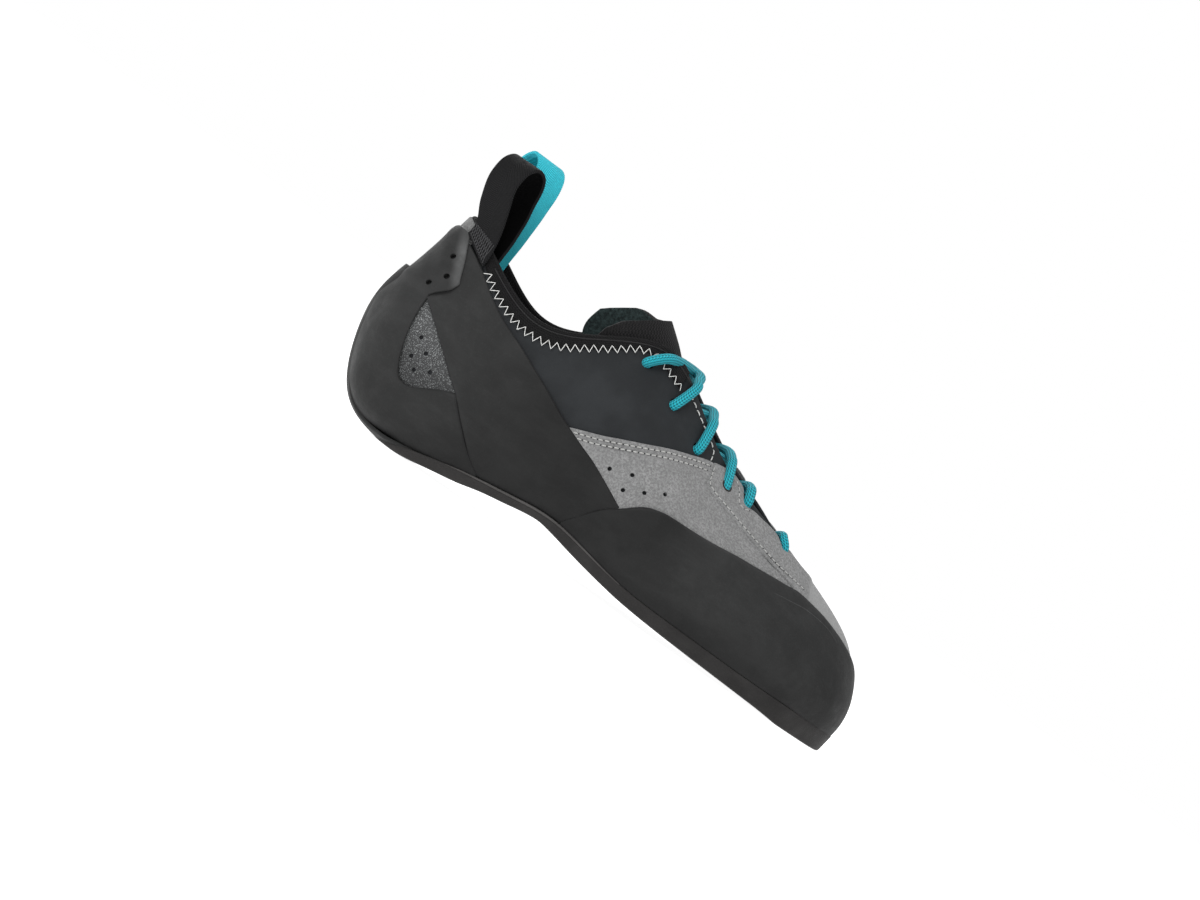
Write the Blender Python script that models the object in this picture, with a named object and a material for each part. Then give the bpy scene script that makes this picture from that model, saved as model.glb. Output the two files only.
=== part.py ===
"""Climbing shoe for the right foot, worked out from one last function.

Lengths are millimetres here and metres in the finished part.
Toe along +X, lateral side along -Y, medial side along +Y, up along +Z.
"""
import math

import bmesh
import bpy
import numpy as np

MM = 0.001
HALF_LENGTH = 124.475
GAP = 0.3
LAY = 0.6
WALL = 1.6
RUBBER = 1.8
BAND_RUBBER = 1.3
SUEDE = 1.2
EYESTAY_SUEDE = 1.7
TAIL_RUBBER = 2.2
SOLE_CHAMFER = 1.2
TOE_RAKE = 1.8
INSOLE = 2.0
TONGUE = 2.6
LACE_RADIUS = 2.1
WEBBING_WIDTH = 15.5
WEBBING = 1.4

# The last, seen from the side: one row for each station from heel to toe.
SIDE_NAMES = ("x_base", "x_low", "x_wide", "x_shoulder", "x_top",
              "z_base", "z_low", "z_wide", "z_shoulder", "z_top", "lift")
SIDE = {
    "heel": (34.5, 16.4, 5.0, 7.9, 14.0, 5.2, 12.4, 42.0, 66.0, 93.5, 0.0),
    "heel_quarter": (39.0, 22.5, 13.5, 15.5, 19.5, 5.2, 13.0, 41.5, 66.0, 90.5, 1.0),
    "heel_side": (51.0, 42.0, 36.0, 34.0, 32.5, 7.0, 17.0, 40.0, 62.0, 82.3, 4.2),
    "ankle": (69.0, 64.0, 60.0, 57.0, 56.0, 10.8, 22.0, 38.0, 59.0, 76.3, 1.8),
    "waist": (92.0, 89.0, 85.0, 81.0, 79.5, 14.5, 25.0, 40.0, 63.0, 83.3, 1.5),
    "instep": (114.0, 112.0, 110.0, 107.5, 106.0, 16.2, 25.0, 40.0, 68.0, 95.5, 1.0),
    "ball_rear": (143.0, 141.0, 138.0, 133.0, 130.0, 11.6, 20.0, 33.0, 60.0, 85.0, 0.5),
    "ball": (172.0, 170.0, 167.0, 161.0, 155.0, 10.0, 18.0, 28.0, 50.0, 71.0, 0.0),
    "toe_joint": (201.0, 199.5, 196.5, 187.0, 177.0, 9.5, 17.5, 26.5, 46.0, 63.8, 0.0),
    "toe_quarter": (229.0, 229.0, 226.0, 213.0, 194.0, 9.4, 17.0, 26.0, 42.5, 57.4, 0.0),
    "toe": (246.8, 247.2, 244.0, 231.0, 204.0, 8.8, 16.0, 27.5, 43.1, 54.3, 0.0),
}

# The last, seen from above: how far each rib lies to the lateral and medial side.
BREADTH_NAMES = ("lat_base", "lat_low", "lat_wide", "lat_shoulder", "lat_top",
                 "med_base", "med_low", "med_wide", "med_shoulder", "med_top")
BREADTH = {
    "heel": (0.0, 0.0, 0.0, 0.0, 0.0, 0.0, 0.0, 0.0, 0.0, 0.0),
    "heel_quarter": (13.5, 17.0, 21.5, 18.5, 14.5, 13.5, 17.0, 21.5, 18.5, 14.5),
    "heel_side": (23.5, 28.0, 30.0, 26.5, 22.5, 23.5, 28.0, 30.0, 26.5, 22.5),
    "ankle": (27.0, 31.5, 32.5, 29.5, 26.5, 26.0, 30.5, 32.5, 30.0, 26.5),
    "waist": (30.0, 34.5, 35.5, 32.0, 26.0, 24.0, 29.5, 32.5, 31.5, 26.0),
    "instep": (34.0, 38.5, 39.5, 34.5, 19.0, 28.0, 33.5, 36.0, 34.0, 20.0),
    "ball_rear": (41.0, 45.0, 45.5, 35.0, 13.5, 37.5, 42.0, 42.5, 34.5, 15.0),
    "ball": (41.5, 45.0, 44.5, 32.5, 11.0, 42.5, 46.5, 46.0, 33.5, 13.0),
    "toe_joint": (34.0, 37.5, 36.5, 25.5, 9.0, 42.5, 46.0, 45.0, 33.0, 12.0),
    "toe_quarter": (17.5, 20.0, 19.0, 13.5, 6.5, 39.5, 42.0, 40.5, 29.5, 10.5),
    "toe": (-17.0, -17.0, -16.5, -14.0, -3.5, 17.0, 17.0, 16.5, 14.0, 3.5),
}
RIB_T = np.array((0.0, 0.2, 0.45, 0.75, 1.0))
TOE_A = float(len(SIDE) - 1)
RING = 2.0 * TOE_A

# Underside of the sole: x along the shoe and z of the tread, flat under heel and toe.
UNDERSIDE = {
    "heel_seat": (46.0, 0.0), "heel_breast": (53.0, 1.6), "shank_rear": (60.0, 2.8),
    "shank": (70.0, 4.7), "arch_rear": (80.0, 7.2), "arch": (90.0, 9.0),
    "arch_front": (98.0, 10.5), "arch_peak": (105.0, 11.2), "arch_fall": (112.0, 10.3),
    "ball_rear": (125.0, 7.8), "ball_mid": (140.0, 5.4), "ball": (152.0, 4.0),
    "ball_front": (170.0, 2.9), "toe_rear": (200.0, 1.7), "toe_flex": (218.0, 0.9),
    "toe_seat": (228.0, 0.0),
}

# Rubber strip up the back of the heel: height along the rib and half width along the ring.
TAIL = ((0.0, 2.3), (0.05, 1.55), (0.10, 1.1), (0.15, 0.85), (0.2, 0.7), (0.27, 0.61),
        (0.34, 0.55), (0.45, 0.5), (0.58, 0.47), (0.713, 0.45))

# Overlays, one row across each piece: x_low, z_low, x_high, z_high in the side view.
# An empty z_low stands for the feather line, an empty x for the centre line.
TOE_RAND = (
    (113.4, None, 113.9, 18.9), (118.0, None, 117.0, 22.9), (122.5, None, 123.3, 30.0),
    (126.5, None, 128.5, 33.9), (131.5, None, 135.0, 39.2), (138.0, None, 141.7, 41.7),
    (147.0, None, 150.0, 42.4), (172.0, None, 173.0, 44.0), (186.0, None, 186.0, 45.2),
    (200.0, None, 198.0, 46.2), (213.0, None, 205.5, 46.7),
)
TENSION_BAND = (
    (19.6, 56.4, 19.9, 59.9), (23.5, 53.4, 24.2, 64.6), (26.0, 51.6, 25.4, 68.9),
    (30.0, 48.5, 27.0, 79.8), (36.0, 43.8, 33.0, 77.9), (42.0, 39.0, 40.0, 73.4),
    (51.0, 32.2, 49.0, 67.2), (60.6, 23.5, 60.0, 62.4), (70.4, 15.6, 72.0, 57.4),
    (77.0, None, 80.0, 54.0), (88.0, None, 90.0, 49.6), (100.0, None, 101.0, 45.4),
    (111.4, None, 110.0, 42.3), (115.0, 22.4, 115.0, 40.0), (121.0, 29.7, 122.4, 35.8),
)
VAMP = (
    (97.5, 48.2, 97.9, 49.2), (107.0, 44.9, 106.7, 52.9), (115.5, 41.5, 115.0, 56.6),
    (124.0, 36.8, 124.0, 60.7), (128.6, 34.7, 131.0, 63.8), (135.0, 39.9, 138.5, 66.4),
    (141.7, 42.4, 147.0, 68.4), (147.0, 43.0, 149.2, 59.9), (158.0, 43.7, 160.0, 58.8),
    (173.0, 44.8, 172.0, 56.6), (186.0, 45.9, 186.0, 51.9), (196.0, 46.6, 197.0, 48.8),
)
EYESTAY = (
    (149.9, 60.4, 148.2, None), (160.0, 59.3, 156.0, None), (172.0, 57.1, 166.0, None),
    (186.2, 52.4, 176.0, None), (199.0, 48.7, 184.0, None), (205.7, 47.4, 190.0, None),
)
# Where rubber and suede meet over the toe: ring position and height.
TOE_EDGE = ((9.0, 46.7), (9.25, 45.0), (9.5, 42.3), (9.75, 38.7), (9.9, 36.6), (10.0, 35.6))
HEEL_CAP = (
    (75.5, None, 73.8, 13.4), (69.0, None, 66.0, 18.4), (61.0, None, 59.6, 23.8),
    (54.0, None, 52.2, 30.6), (49.5, None, 46.0, 30.4), (46.0, None, 39.5, 28.0),
    (43.0, None, 33.0, 25.0), (41.2, None, 28.0, 25.6), (39.8, None, 24.2, 30.0),
    (None, 5.6, 20.8, 38.3), (None, 13.0, 18.7, 48.0), (None, 24.0, 17.7, 57.0),
    (None, 40.0, 18.9, 59.9), (None, 50.0, 23.2, 64.6), (None, 57.0, 24.3, 68.9),
    (None, 66.0, 20.6, 77.4), (None, 76.0, 17.2, 84.6), (None, 86.5, 15.6, 86.9),
)

# Tongue: ridge and wing of each cross section in the side view, half widths, swell.
TONGUE_ROWS = {
    "tip": (102.0, 105.4, 75.0, 91.5, 22.0, 22.5, 4.6),
    "fold": (110.0, 99.2, 76.5, 80.5, 22.0, 22.5, 3.2),
    "top_eyelet": (118.0, 93.2, 91.0, 76.0, 21.5, 22.0, 1.5),
    "second_eyelet": (128.0, 86.0, 109.0, 72.0, 20.0, 20.5, 0.6),
    "third_eyelet": (140.0, 77.6, 128.0, 67.0, 18.5, 19.0, 0.0),
    "mid_throat": (155.0, 68.6, 146.0, 60.5, 17.5, 18.0, 0.0),
    "low_throat": (170.0, 61.0, 163.0, 54.5, 16.0, 17.0, 0.0),
    "root": (186.0, 53.8, 181.0, 48.6, 13.0, 15.0, 0.0),
}

# Lace: eyelet and crossing of each bar in the side view, and its rise over the throat's edge.
LACE_ROWS = (
    (104.2, 87.0, 119.0, 96.6, 3.6), (122.2, 79.7, 125.0, 94.2, 1.4),
    (139.7, 70.8, 136.0, 85.2, 1.2), (157.0, 64.2, 150.8, 77.0, 1.2),
    (168.0, 63.4, 164.5, 69.2, 0.9), (190.0, 57.0, 186.5, 60.9, 0.9),
)

# Pull loop: distance out from the collar edge and height above it, along the webbing.
LOOP_PATH = (
    (2.9, -4.6), (2.0, -1.0), (2.2, 7.0), (3.8, 16.0), (5.0, 25.0), (3.6, 32.0), (-1.5, 35.6),
    (-7.5, 33.6), (-10.6, 27.0), (-10.4, 18.0), (-7.6, 9.0), (-5.0, 1.5), (-4.4, -6.0),
)


def station_points():
    """Control points of the last, ring station by rib row."""
    names = list(SIDE)
    ring = [(name, -1.0) for name in names] + [(name, 1.0) for name in reversed(names[1:-1])]
    table = np.zeros((len(ring), 5, 3))
    for index, (name, hand) in enumerate(ring):
        side = SIDE[name]
        breadth = BREADTH[name]
        columns = breadth[:5] if hand < 0.0 else breadth[5:]
        table[index, :, 0] = side[:5]
        table[index, :, 1] = np.array(columns) * hand
        table[index, :, 2] = side[5:10]
        if hand > 0.0:
            table[index, 4, 2] += side[10]
    return table


def ring_bends(points):
    """Second differences of a closed cubic spline on unit steps."""
    count = len(points)
    matrix = np.zeros((count, count))
    for row in range(count):
        matrix[row, row] = 4.0
        matrix[row, (row - 1) % count] = 1.0
        matrix[row, (row + 1) % count] = 1.0
    flat = points.reshape(count, -1)
    right = 6.0 * (np.roll(flat, 1, 0) - 2.0 * flat + np.roll(flat, -1, 0))
    return np.linalg.solve(matrix, right).reshape(points.shape)


def rib_matrix():
    """Matrix from rib values to the bends of a natural cubic spline."""
    count = len(RIB_T)
    left = np.eye(count)
    right = np.zeros((count, count))
    for row in range(1, count - 1):
        before = RIB_T[row] - RIB_T[row - 1]
        after = RIB_T[row + 1] - RIB_T[row]
        left[row, row - 1] = before
        left[row, row] = 2.0 * (before + after)
        left[row, row + 1] = after
        right[row, row - 1] = 6.0 / before
        right[row, row] = -6.0 / before - 6.0 / after
        right[row, row + 1] = 6.0 / after
    return np.linalg.solve(left, right)


POINTS = station_points()
BENDS = ring_bends(POINTS)
RIB_BENDS = rib_matrix()


def last(a, t):
    """Outer face of the upper at ring position a and rib height t."""
    a = np.atleast_1d(np.asarray(a, float)) % RING
    t = np.atleast_1d(np.asarray(t, float))
    a, t = np.broadcast_arrays(a, t)
    one = np.floor(a).astype(int) % int(RING)
    two = (one + 1) % int(RING)
    f = (a - np.floor(a))[:, None, None]
    g = 1.0 - f
    rib = g * POINTS[one] + f * POINTS[two]
    rib = rib + (g ** 3 - g) / 6.0 * BENDS[one] + (f ** 3 - f) / 6.0 * BENDS[two]
    bends = np.einsum("ij,njk->nik", RIB_BENDS, rib)
    low = np.clip(np.searchsorted(RIB_T, t, side="right") - 1, 0, len(RIB_T) - 2)
    step = (RIB_T[low + 1] - RIB_T[low])[:, None]
    q = (t - RIB_T[low])[:, None] / step
    p = 1.0 - q
    pick = np.arange(len(a))
    value = p * rib[pick, low] + q * rib[pick, low + 1]
    cubic = (p ** 3 - p) * bends[pick, low] + (q ** 3 - q) * bends[pick, low + 1]
    return value + cubic * step ** 2 / 6.0


def skin(a, t, out):
    """The last moved out along its normal."""
    a = np.atleast_1d(np.asarray(a, float))
    t = np.atleast_1d(np.asarray(t, float))
    a, t = np.broadcast_arrays(a, t)
    step = 0.01
    along = last(a + step, t) - last(a - step, t)
    across = last(a, np.minimum(t + step, 1.0)) - last(a, np.maximum(t - step, 0.0))
    normal = np.cross(along, across)
    normal = normal / np.linalg.norm(normal, axis=1)[:, None]
    return last(a, t) + normal * np.broadcast_to(np.asarray(out, float), a.shape)[:, None]


def locate(x, z):
    """Ring and rib position of a side view point on the lateral half."""
    a_mid, t_mid, a_span, t_span = 0.5 * TOE_A, 0.5, 0.5 * TOE_A, 0.5
    for count in (101, 21, 21, 21):
        a_line = np.clip(np.linspace(a_mid - a_span, a_mid + a_span, count), 0.0, TOE_A)
        t_line = np.clip(np.linspace(t_mid - t_span, t_mid + t_span, count), 0.0, 1.0)
        a_grid, t_grid = (grid.ravel() for grid in np.meshgrid(a_line, t_line))
        found = last(a_grid, t_grid)
        best = int(np.argmin((found[:, 0] - x) ** 2 + (found[:, 2] - z) ** 2))
        a_mid, t_mid = a_grid[best], t_grid[best]
        a_span = a_span * 3.0 / count
        t_span = t_span * 3.0 / count
    return float(a_mid), float(t_mid)


def along_edge(x, t):
    """Ring position where an edge of the lateral half reaches x."""
    line = np.linspace(0.0, TOE_A, 801)
    return float(np.interp(x, last(line, t)[:, 0], line))


def up_centre(a, z):
    """Rib height where a centre line reaches z."""
    line = np.linspace(0.0, 1.0, 401)
    return float(np.interp(z, last(np.full(401, a), line)[:, 2], line))


def corner(x, z, centre, edge):
    """Ring and rib position of one end of an overlay row."""
    if x is None and z is None:
        return centre, edge
    if x is None:
        return centre, up_centre(centre, z)
    if z is None:
        return along_edge(x, edge), edge
    return locate(x, z)


def overlay_rows(table, centre, low_edge=0.0, high_edge=0.985):
    """Low and high ends of each overlay row in ring and rib positions."""
    rows = []
    for x_low, z_low, x_high, z_high in table:
        rows.append((corner(x_low, z_low, centre, low_edge),
                     corner(x_high, z_high, centre, high_edge)))
    return np.array(rows)


def refine(rows, longest):
    """Rows added between the given ones so that no step is too long."""
    result = [rows[0]]
    for before, after in zip(rows[:-1], rows[1:]):
        ends = [np.linalg.norm(last(*after[k]) - last(*before[k])) for k in (0, 1)]
        count = max(1, int(round(max(ends) / longest)))
        for index in range(1, count + 1):
            result.append(before + (after - before) * index / count)
    return np.array(result)


def toe_rows(low, high, lift):
    """Rows over the toe, from the rubber's edge down or from the suede's edge up."""
    rows = []
    for a, z in TOE_EDGE:
        edge = up_centre(a, z + lift)
        rows.append(((a, edge if low is None else low), (a, edge if high is None else high)))
    return np.array(rows)


def mirrored(rows, centre):
    """The same rows on the medial half."""
    other = rows.copy()
    other[:, :, 0] = 2.0 * centre - other[:, :, 0]
    return other[::-1]


def grid_faces(rows, columns, start=0):
    """Quads of a grid of vertices numbered row by row."""
    faces = []
    for i in range(rows - 1):
        for j in range(columns - 1):
            one = start + i * columns + j
            faces.append((one, one + 1, one + columns + 1, one + columns))
    return faces


def patch(strips, cells):
    """Ring and rib positions and quads of one or more strips of rows."""
    spots = []
    faces = []
    for rows in strips:
        faces += grid_faces(len(rows), cells + 1, len(spots))
        for low, high in rows:
            for step in range(cells + 1):
                spots.append(low + (high - low) * step / cells)
    keys = {}
    order = []
    kept = []
    for spot in spots:
        key = (round(float(spot[0]) % RING, 5) % RING, round(float(spot[1]), 5))
        if key not in keys:
            keys[key] = len(kept)
            kept.append(spot)
        order.append(keys[key])
    return np.array(kept), [tuple(order[k] for k in face) for face in faces]


def shell(spots, faces, inner, outer):
    """Closed solid between two distances from the last."""
    count = len(spots)
    points = np.vstack((skin(spots[:, 0], spots[:, 1], outer),
                        skin(spots[:, 0], spots[:, 1], inner)))
    used = {}
    for face in faces:
        for one, two in zip(face, face[1:] + face[:1]):
            used[(one, two)] = used.get((one, two), 0) + 1
    solid = list(faces) + [tuple(k + count for k in reversed(face)) for face in faces]
    for one, two in used:
        if (two, one) not in used:
            solid.append((two, one, one + count, two + count))
    return points, solid


def paint(name, colour, roughness):
    """Plain surface of one piece."""
    material = bpy.data.materials.new(name)
    material.use_nodes = True
    shader = material.node_tree.nodes["Principled BSDF"]
    shader.inputs["Base Color"].default_value = (*colour, 1.0)
    shader.inputs["Roughness"].default_value = roughness
    return material


def build_mesh(name, points, faces):
    """Mesh object from points in millimetres."""
    mesh = bpy.data.meshes.new(name)
    work = bmesh.new()
    verts = [work.verts.new([float(v) * MM for v in point]) for point in points]
    for face in faces:
        ring = []
        for index in face:
            if index not in ring:
                ring.append(index)
        if len(ring) > 2:
            work.faces.new([verts[index] for index in ring])
    bmesh.ops.remove_doubles(work, verts=work.verts[:], dist=2e-6)
    bmesh.ops.recalc_face_normals(work, faces=work.faces[:])
    work.to_mesh(mesh)
    work.free()
    return bpy.data.objects.new(name, mesh)


def add_piece(home, name, points, faces, colour, roughness):
    """One named piece of the shoe."""
    item = build_mesh(name, points, faces)
    item.data.materials.append(paint(name, colour, roughness))
    home.objects.link(item)
    return item


def ring_positions():
    """Ring columns, closer together around heel and toe."""
    half = np.concatenate((np.arange(0.0, 2.0, 0.2), np.arange(2.0, 8.0, 0.3333),
                           np.arange(8.0, 9.0, 0.25), np.arange(9.0, TOE_A + 0.01, 0.125)))
    return np.concatenate((half, RING - half[-2:0:-1]))


def add_upper(home):
    """Lasted upper: a hollow wall open at collar, throat and underneath."""
    ring = ring_positions()
    ribs = (0.0, 0.06, 0.13, 0.21, 0.29, 0.38, 0.48, 0.6, 0.72, 0.86, 1.0)
    spots = np.array([(a, t) for a in np.append(ring, RING) for t in ribs])
    columns = len(ribs)
    faces = grid_faces(len(ring) + 1, columns)
    total = len(ring) * columns
    faces = [tuple(k % total for k in face) for face in faces]
    points, solid = shell(spots[:total], faces, -WALL, 0.0)
    return add_piece(home, "upper", points, solid, (0.03, 0.032, 0.036), 0.8)


def edge_band(a):
    """Plan outline, top height and tread height of the sole at ring positions."""
    a = np.asarray(a, float)
    near_heel = np.minimum(np.abs(a), np.abs(RING - a))
    reach = 0.035 * np.clip((3.2 - near_heel) / 1.2, 0.0, 1.0)
    rim = skin(a, reach, LAY + RUBBER + 0.1)
    under = np.minimum(skin(a, 0.0, LAY + RUBBER)[:, 2], last(a, 0.0)[:, 2])
    top = under - GAP - 0.8 * np.clip(3.0 - near_heel, 0.0, 1.0)
    rows = np.array(list(UNDERSIDE.values()))
    tread = np.interp(rim[:, 0], rows[:, 0], rows[:, 1])
    return rim, top, tread


def sole_slab():
    """Points and faces of the flat part of the sole."""
    half = np.concatenate((np.arange(0.0, 9.0, 0.25), np.arange(9.0, TOE_A + 0.01, 0.125)))
    points = []
    faces = []
    cross = (0.0, 0.5, 1.0)
    for a in half:
        lat, lat_top, lat_tread = (value[0] for value in edge_band([a]))
        med, med_top, med_tread = (value[0] for value in edge_band([RING - a]))
        toe = np.clip((a - 8.6) / 1.2, 0.0, 1.0)
        centre = np.array((0.5 * (lat[0] + med[0]), 0.5 * (lat[1] + med[1])))
        if toe > 0.0:
            centre = centre * (1.0 - toe) + np.array((lat[0] - 20.0, centre[1])) * toe
        ends = []
        for rim, top, tread in ((lat, lat_top, lat_tread), (med, med_top, med_tread)):
            inward = centre - rim[:2]
            inward = inward / max(np.linalg.norm(inward), 1e-6)
            lower = rim[:2] + inward * TOE_RAKE * toe
            ends.append((np.append(rim[:2], top), np.append(lower, tread + SOLE_CHAMFER),
                         np.append(lower + inward * SOLE_CHAMFER, tread)))
        for step in cross:
            points.append(ends[0][0] * (1.0 - step) + ends[1][0] * step)
        points.append(ends[1][1])
        for step in reversed(cross):
            points.append(ends[0][2] * (1.0 - step) + ends[1][2] * step)
        points.append(ends[0][1])
    loop = 2 * len(cross) + 2
    for row in range(len(half) - 1):
        for k in range(loop):
            following = (k + 1) % loop
            faces.append((row * loop + k, row * loop + following,
                          (row + 1) * loop + following, (row + 1) * loop + k))
    last_row = (len(half) - 1) * loop
    faces.append(tuple(range(loop)))
    faces.append(tuple(last_row + k for k in range(loop)))
    return points, faces


def sole_tail():
    """Points and faces of the rubber that cups the heel and runs up its back."""
    table = np.array(TAIL)
    heights = np.append(table[:, 0], (0.52, 0.65))
    heights.sort()
    widths = np.interp(heights, table[:, 0], table[:, 1])
    cells = 12
    spots = np.array([(width * (2.0 * j / cells - 1.0), t)
                      for t, width in zip(heights, widths) for j in range(cells + 1)])
    inner = 2.0 * LAY + RUBBER + 0.7 * np.clip(1.0 - spots[:, 1] / 0.12, 0.0, 1.0)
    outer = 2.0 * LAY + RUBBER + TAIL_RUBBER
    return shell(spots, grid_faces(len(heights), cells + 1), inner, outer)


def add_outsole(home, tools):
    """Sole with arch and toe spring, joined to the strip behind the heel."""
    points, faces = sole_slab()
    sole = add_piece(home, "outsole", points, faces, (0.028, 0.028, 0.029), 0.62)
    points, faces = sole_tail()
    tail = build_mesh("outsole_tail_form", points, faces)
    tools.objects.link(tail)
    tail.hide_render = True
    tail.display_type = "WIRE"
    joint = sole.modifiers.new("heel_tail", "BOOLEAN")
    joint.operation = "UNION"
    joint.solver = "EXACT"
    joint.object = tail
    return sole


def add_insole(home):
    """Insole lying on the sole inside the upper."""
    ring = np.concatenate((np.arange(0.0, 9.0, 0.5), np.arange(9.0, TOE_A + 0.01, 0.25)))
    rim, top, tread = edge_band(np.linspace(0.0, TOE_A, 81))
    sole_top = (rim[:, 0], top)
    points = []
    faces = []
    for a in ring:
        ends = []
        for place in (a, RING - a):
            base = last([place], [0.0])[0]
            ahead = last([place + 0.02], [0.0])[0] - last([place - 0.02], [0.0])[0]
            inward = np.array((-ahead[1], ahead[0])) / math.hypot(ahead[0], ahead[1])
            spot = base[:2] + inward * (WALL + 1.0)
            under = np.interp(spot[0], *sole_top) + GAP
            ends.append((np.append(spot, under), np.append(spot, max(under, base[2]) + INSOLE)))
        for step in (0.0, 0.5, 1.0):
            points.append(ends[0][0] * (1.0 - step) + ends[1][0] * step)
        for step in (1.0, 0.5, 0.0):
            points.append(ends[0][1] * (1.0 - step) + ends[1][1] * step)
    for row in range(len(ring) - 1):
        for k in range(6):
            following = (k + 1) % 6
            faces.append((row * 6 + k, row * 6 + following,
                          (row + 1) * 6 + following, (row + 1) * 6 + k))
    first = (len(ring) - 1) * 6
    faces.append(tuple(range(6)))
    faces.append(tuple(first + k for k in range(6)))
    return add_piece(home, "insole", points, faces, (0.16, 0.16, 0.15), 0.9)


def tongue_section(row, drop):
    """Arch of one tongue section from the lateral wing over the ridge."""
    x_ridge, z_ridge, x_wing, z_wing, half_lat, half_med, swell = row
    rise = math.hypot(x_ridge - x_wing, z_ridge - z_wing)
    scale = (rise - drop) / rise
    section = []
    for step in range(9):
        turn = math.radians(-90.0 + 22.5 * step)
        half = half_lat if turn < 0.0 else half_med
        lift = math.cos(turn) * scale
        bow = swell * math.sin(2.0 * abs(turn)) * scale / rise
        section.append((x_wing + (x_ridge - x_wing) * lift - (z_ridge - z_wing) * bow,
                        (half - drop) * math.sin(turn),
                        z_wing + (z_ridge - z_wing) * lift + (x_ridge - x_wing) * bow))
    return section


def add_tongue(home):
    """Tongue arched under the throat, its tip standing above the collar."""
    rows = np.array(list(TONGUE_ROWS.values()))
    fine = []
    for before, after in zip(rows[:-1], rows[1:]):
        fine.append(before)
        fine.append(0.5 * (before + after))
    fine.append(rows[-1])
    points = []
    faces = []
    width = 9
    for row in fine:
        points += tongue_section(row, 0.0)
        points += reversed(tongue_section(row, TONGUE))
    loop = 2 * width
    for index in range(len(fine) - 1):
        for k in range(loop):
            following = (k + 1) % loop
            faces.append((index * loop + k, index * loop + following,
                          (index + 1) * loop + following, (index + 1) * loop + k))
    for start in (0, (len(fine) - 1) * loop):
        for k in range(width - 1):
            faces.append((start + k, start + k + 1, start + loop - 2 - k, start + loop - 1 - k))
    return add_piece(home, "tongue", points, faces, (0.025, 0.026, 0.028), 0.9)


def smooth_path(points, steps):
    """Curve through points, some steps for each span."""
    points = np.array(points)
    padded = np.vstack((2.0 * points[0] - points[1], points, 2.0 * points[-1] - points[-2]))
    result = []
    for i in range(1, len(padded) - 2):
        p0, p1, p2, p3 = padded[i - 1:i + 3]
        for k in range(steps):
            f = k / steps
            result.append(0.5 * (2.0 * p1 + (p2 - p0) * f + (2.0 * p0 - 5.0 * p1 + 4.0 * p2 - p3) * f ** 2
                                 + (3.0 * p1 - p0 - 3.0 * p2 + p3) * f ** 3))
    result.append(padded[-2])
    return np.array(result)


def tube(path, radius, sides):
    """Points and faces of a round cord along a path."""
    points = []
    faces = []
    normal = np.array((0.0, 0.0, 1.0))
    for index, spot in enumerate(path):
        ahead = path[min(index + 1, len(path) - 1)] - path[max(index - 1, 0)]
        ahead = ahead / np.linalg.norm(ahead)
        normal = normal - ahead * np.dot(normal, ahead)
        normal = normal / np.linalg.norm(normal)
        side = np.cross(ahead, normal)
        for k in range(sides):
            turn = 2.0 * math.pi * k / sides
            points.append(spot + radius * (normal * math.cos(turn) + side * math.sin(turn)))
    for index in range(len(path) - 1):
        for k in range(sides):
            following = (k + 1) % sides
            faces.append((index * sides + k, index * sides + following,
                          (index + 1) * sides + following, (index + 1) * sides + k))
    faces.append(tuple(range(sides)))
    faces.append(tuple((len(path) - 1) * sides + k for k in range(sides)))
    return points, faces


def add_lace(home):
    """Lace crossings over the throat joined into one cord."""
    clear = LAY + EYESTAY_SUEDE + GAP + LACE_RADIUS + 0.5
    knots = []
    for index, (x_eye, z_eye, x_over, z_over, rise) in enumerate(LACE_ROWS):
        a_eye, t_eye = locate(x_eye, z_eye)
        a_edge = along_edge(0.5 * (x_eye + x_over), 1.0)
        near = skin([a_eye], [t_eye], clear)[0]
        rim = skin([0.5 * (a_eye + a_edge)], [0.5 * (t_eye + 1.0)], clear + rise)[0]
        far = skin([RING - a_eye], [t_eye], clear)[0]
        far_rim = skin([RING - 0.5 * (a_eye + a_edge)], [0.5 * (t_eye + 1.0)], clear + rise)[0]
        over = np.array((x_over, 0.5 * (rim[1] + far_rim[1]), z_over))
        bar = [near, rim, over, far_rim, far]
        knots += bar if index % 2 == 0 else bar[::-1]
    points, faces = tube(smooth_path(knots, 2), LACE_RADIUS, 6)
    return add_piece(home, "lace", points, faces, (0.02, 0.30, 0.36), 0.7)


def add_pull_loop(home, name, hand, shift, rise, lean, colour):
    """Webbing loop sewn over the collar beside the heel."""
    place = 1.58 if hand < 0.0 else RING - 1.58
    edge = last([place], [1.0])[0]
    out = np.array((-0.58, 0.81 * hand, 0.0))
    along = np.array((0.81, 0.58 * hand, 0.0))
    points = []
    faces = []
    for distance, height in smooth_path(np.array(LOOP_PATH), 2):
        up = height * (rise if height > 0.0 else 1.0)
        slide = (shift + lean * up) * min(max(up / 12.0, 0.0), 1.0)
        centre = edge + out * distance + along * slide + np.array((0.0, 0.0, up))
        points.append(centre)
    path = np.array(points)
    points = []
    for index, spot in enumerate(path):
        ahead = path[min(index + 1, len(path) - 1)] - path[max(index - 1, 0)]
        across = along - ahead * np.dot(along, ahead) / np.dot(ahead, ahead)
        across = across / np.linalg.norm(across)
        face = np.cross(ahead, across)
        face = face / np.linalg.norm(face)
        for wide, thick in ((-1.0, -1.0), (1.0, -1.0), (1.0, 1.0), (-1.0, 1.0)):
            points.append(spot + across * wide * 0.5 * WEBBING_WIDTH + face * thick * 0.5 * WEBBING)
    for index in range(len(path) - 1):
        for k in range(4):
            following = (k + 1) % 4
            faces.append((index * 4 + k, index * 4 + following,
                          (index + 1) * 4 + following, (index + 1) * 4 + k))
    faces.append((0, 1, 2, 3))
    end = (len(path) - 1) * 4
    faces.append((end, end + 1, end + 2, end + 3))
    return add_piece(home, name, points, faces, colour, 0.8)


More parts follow.
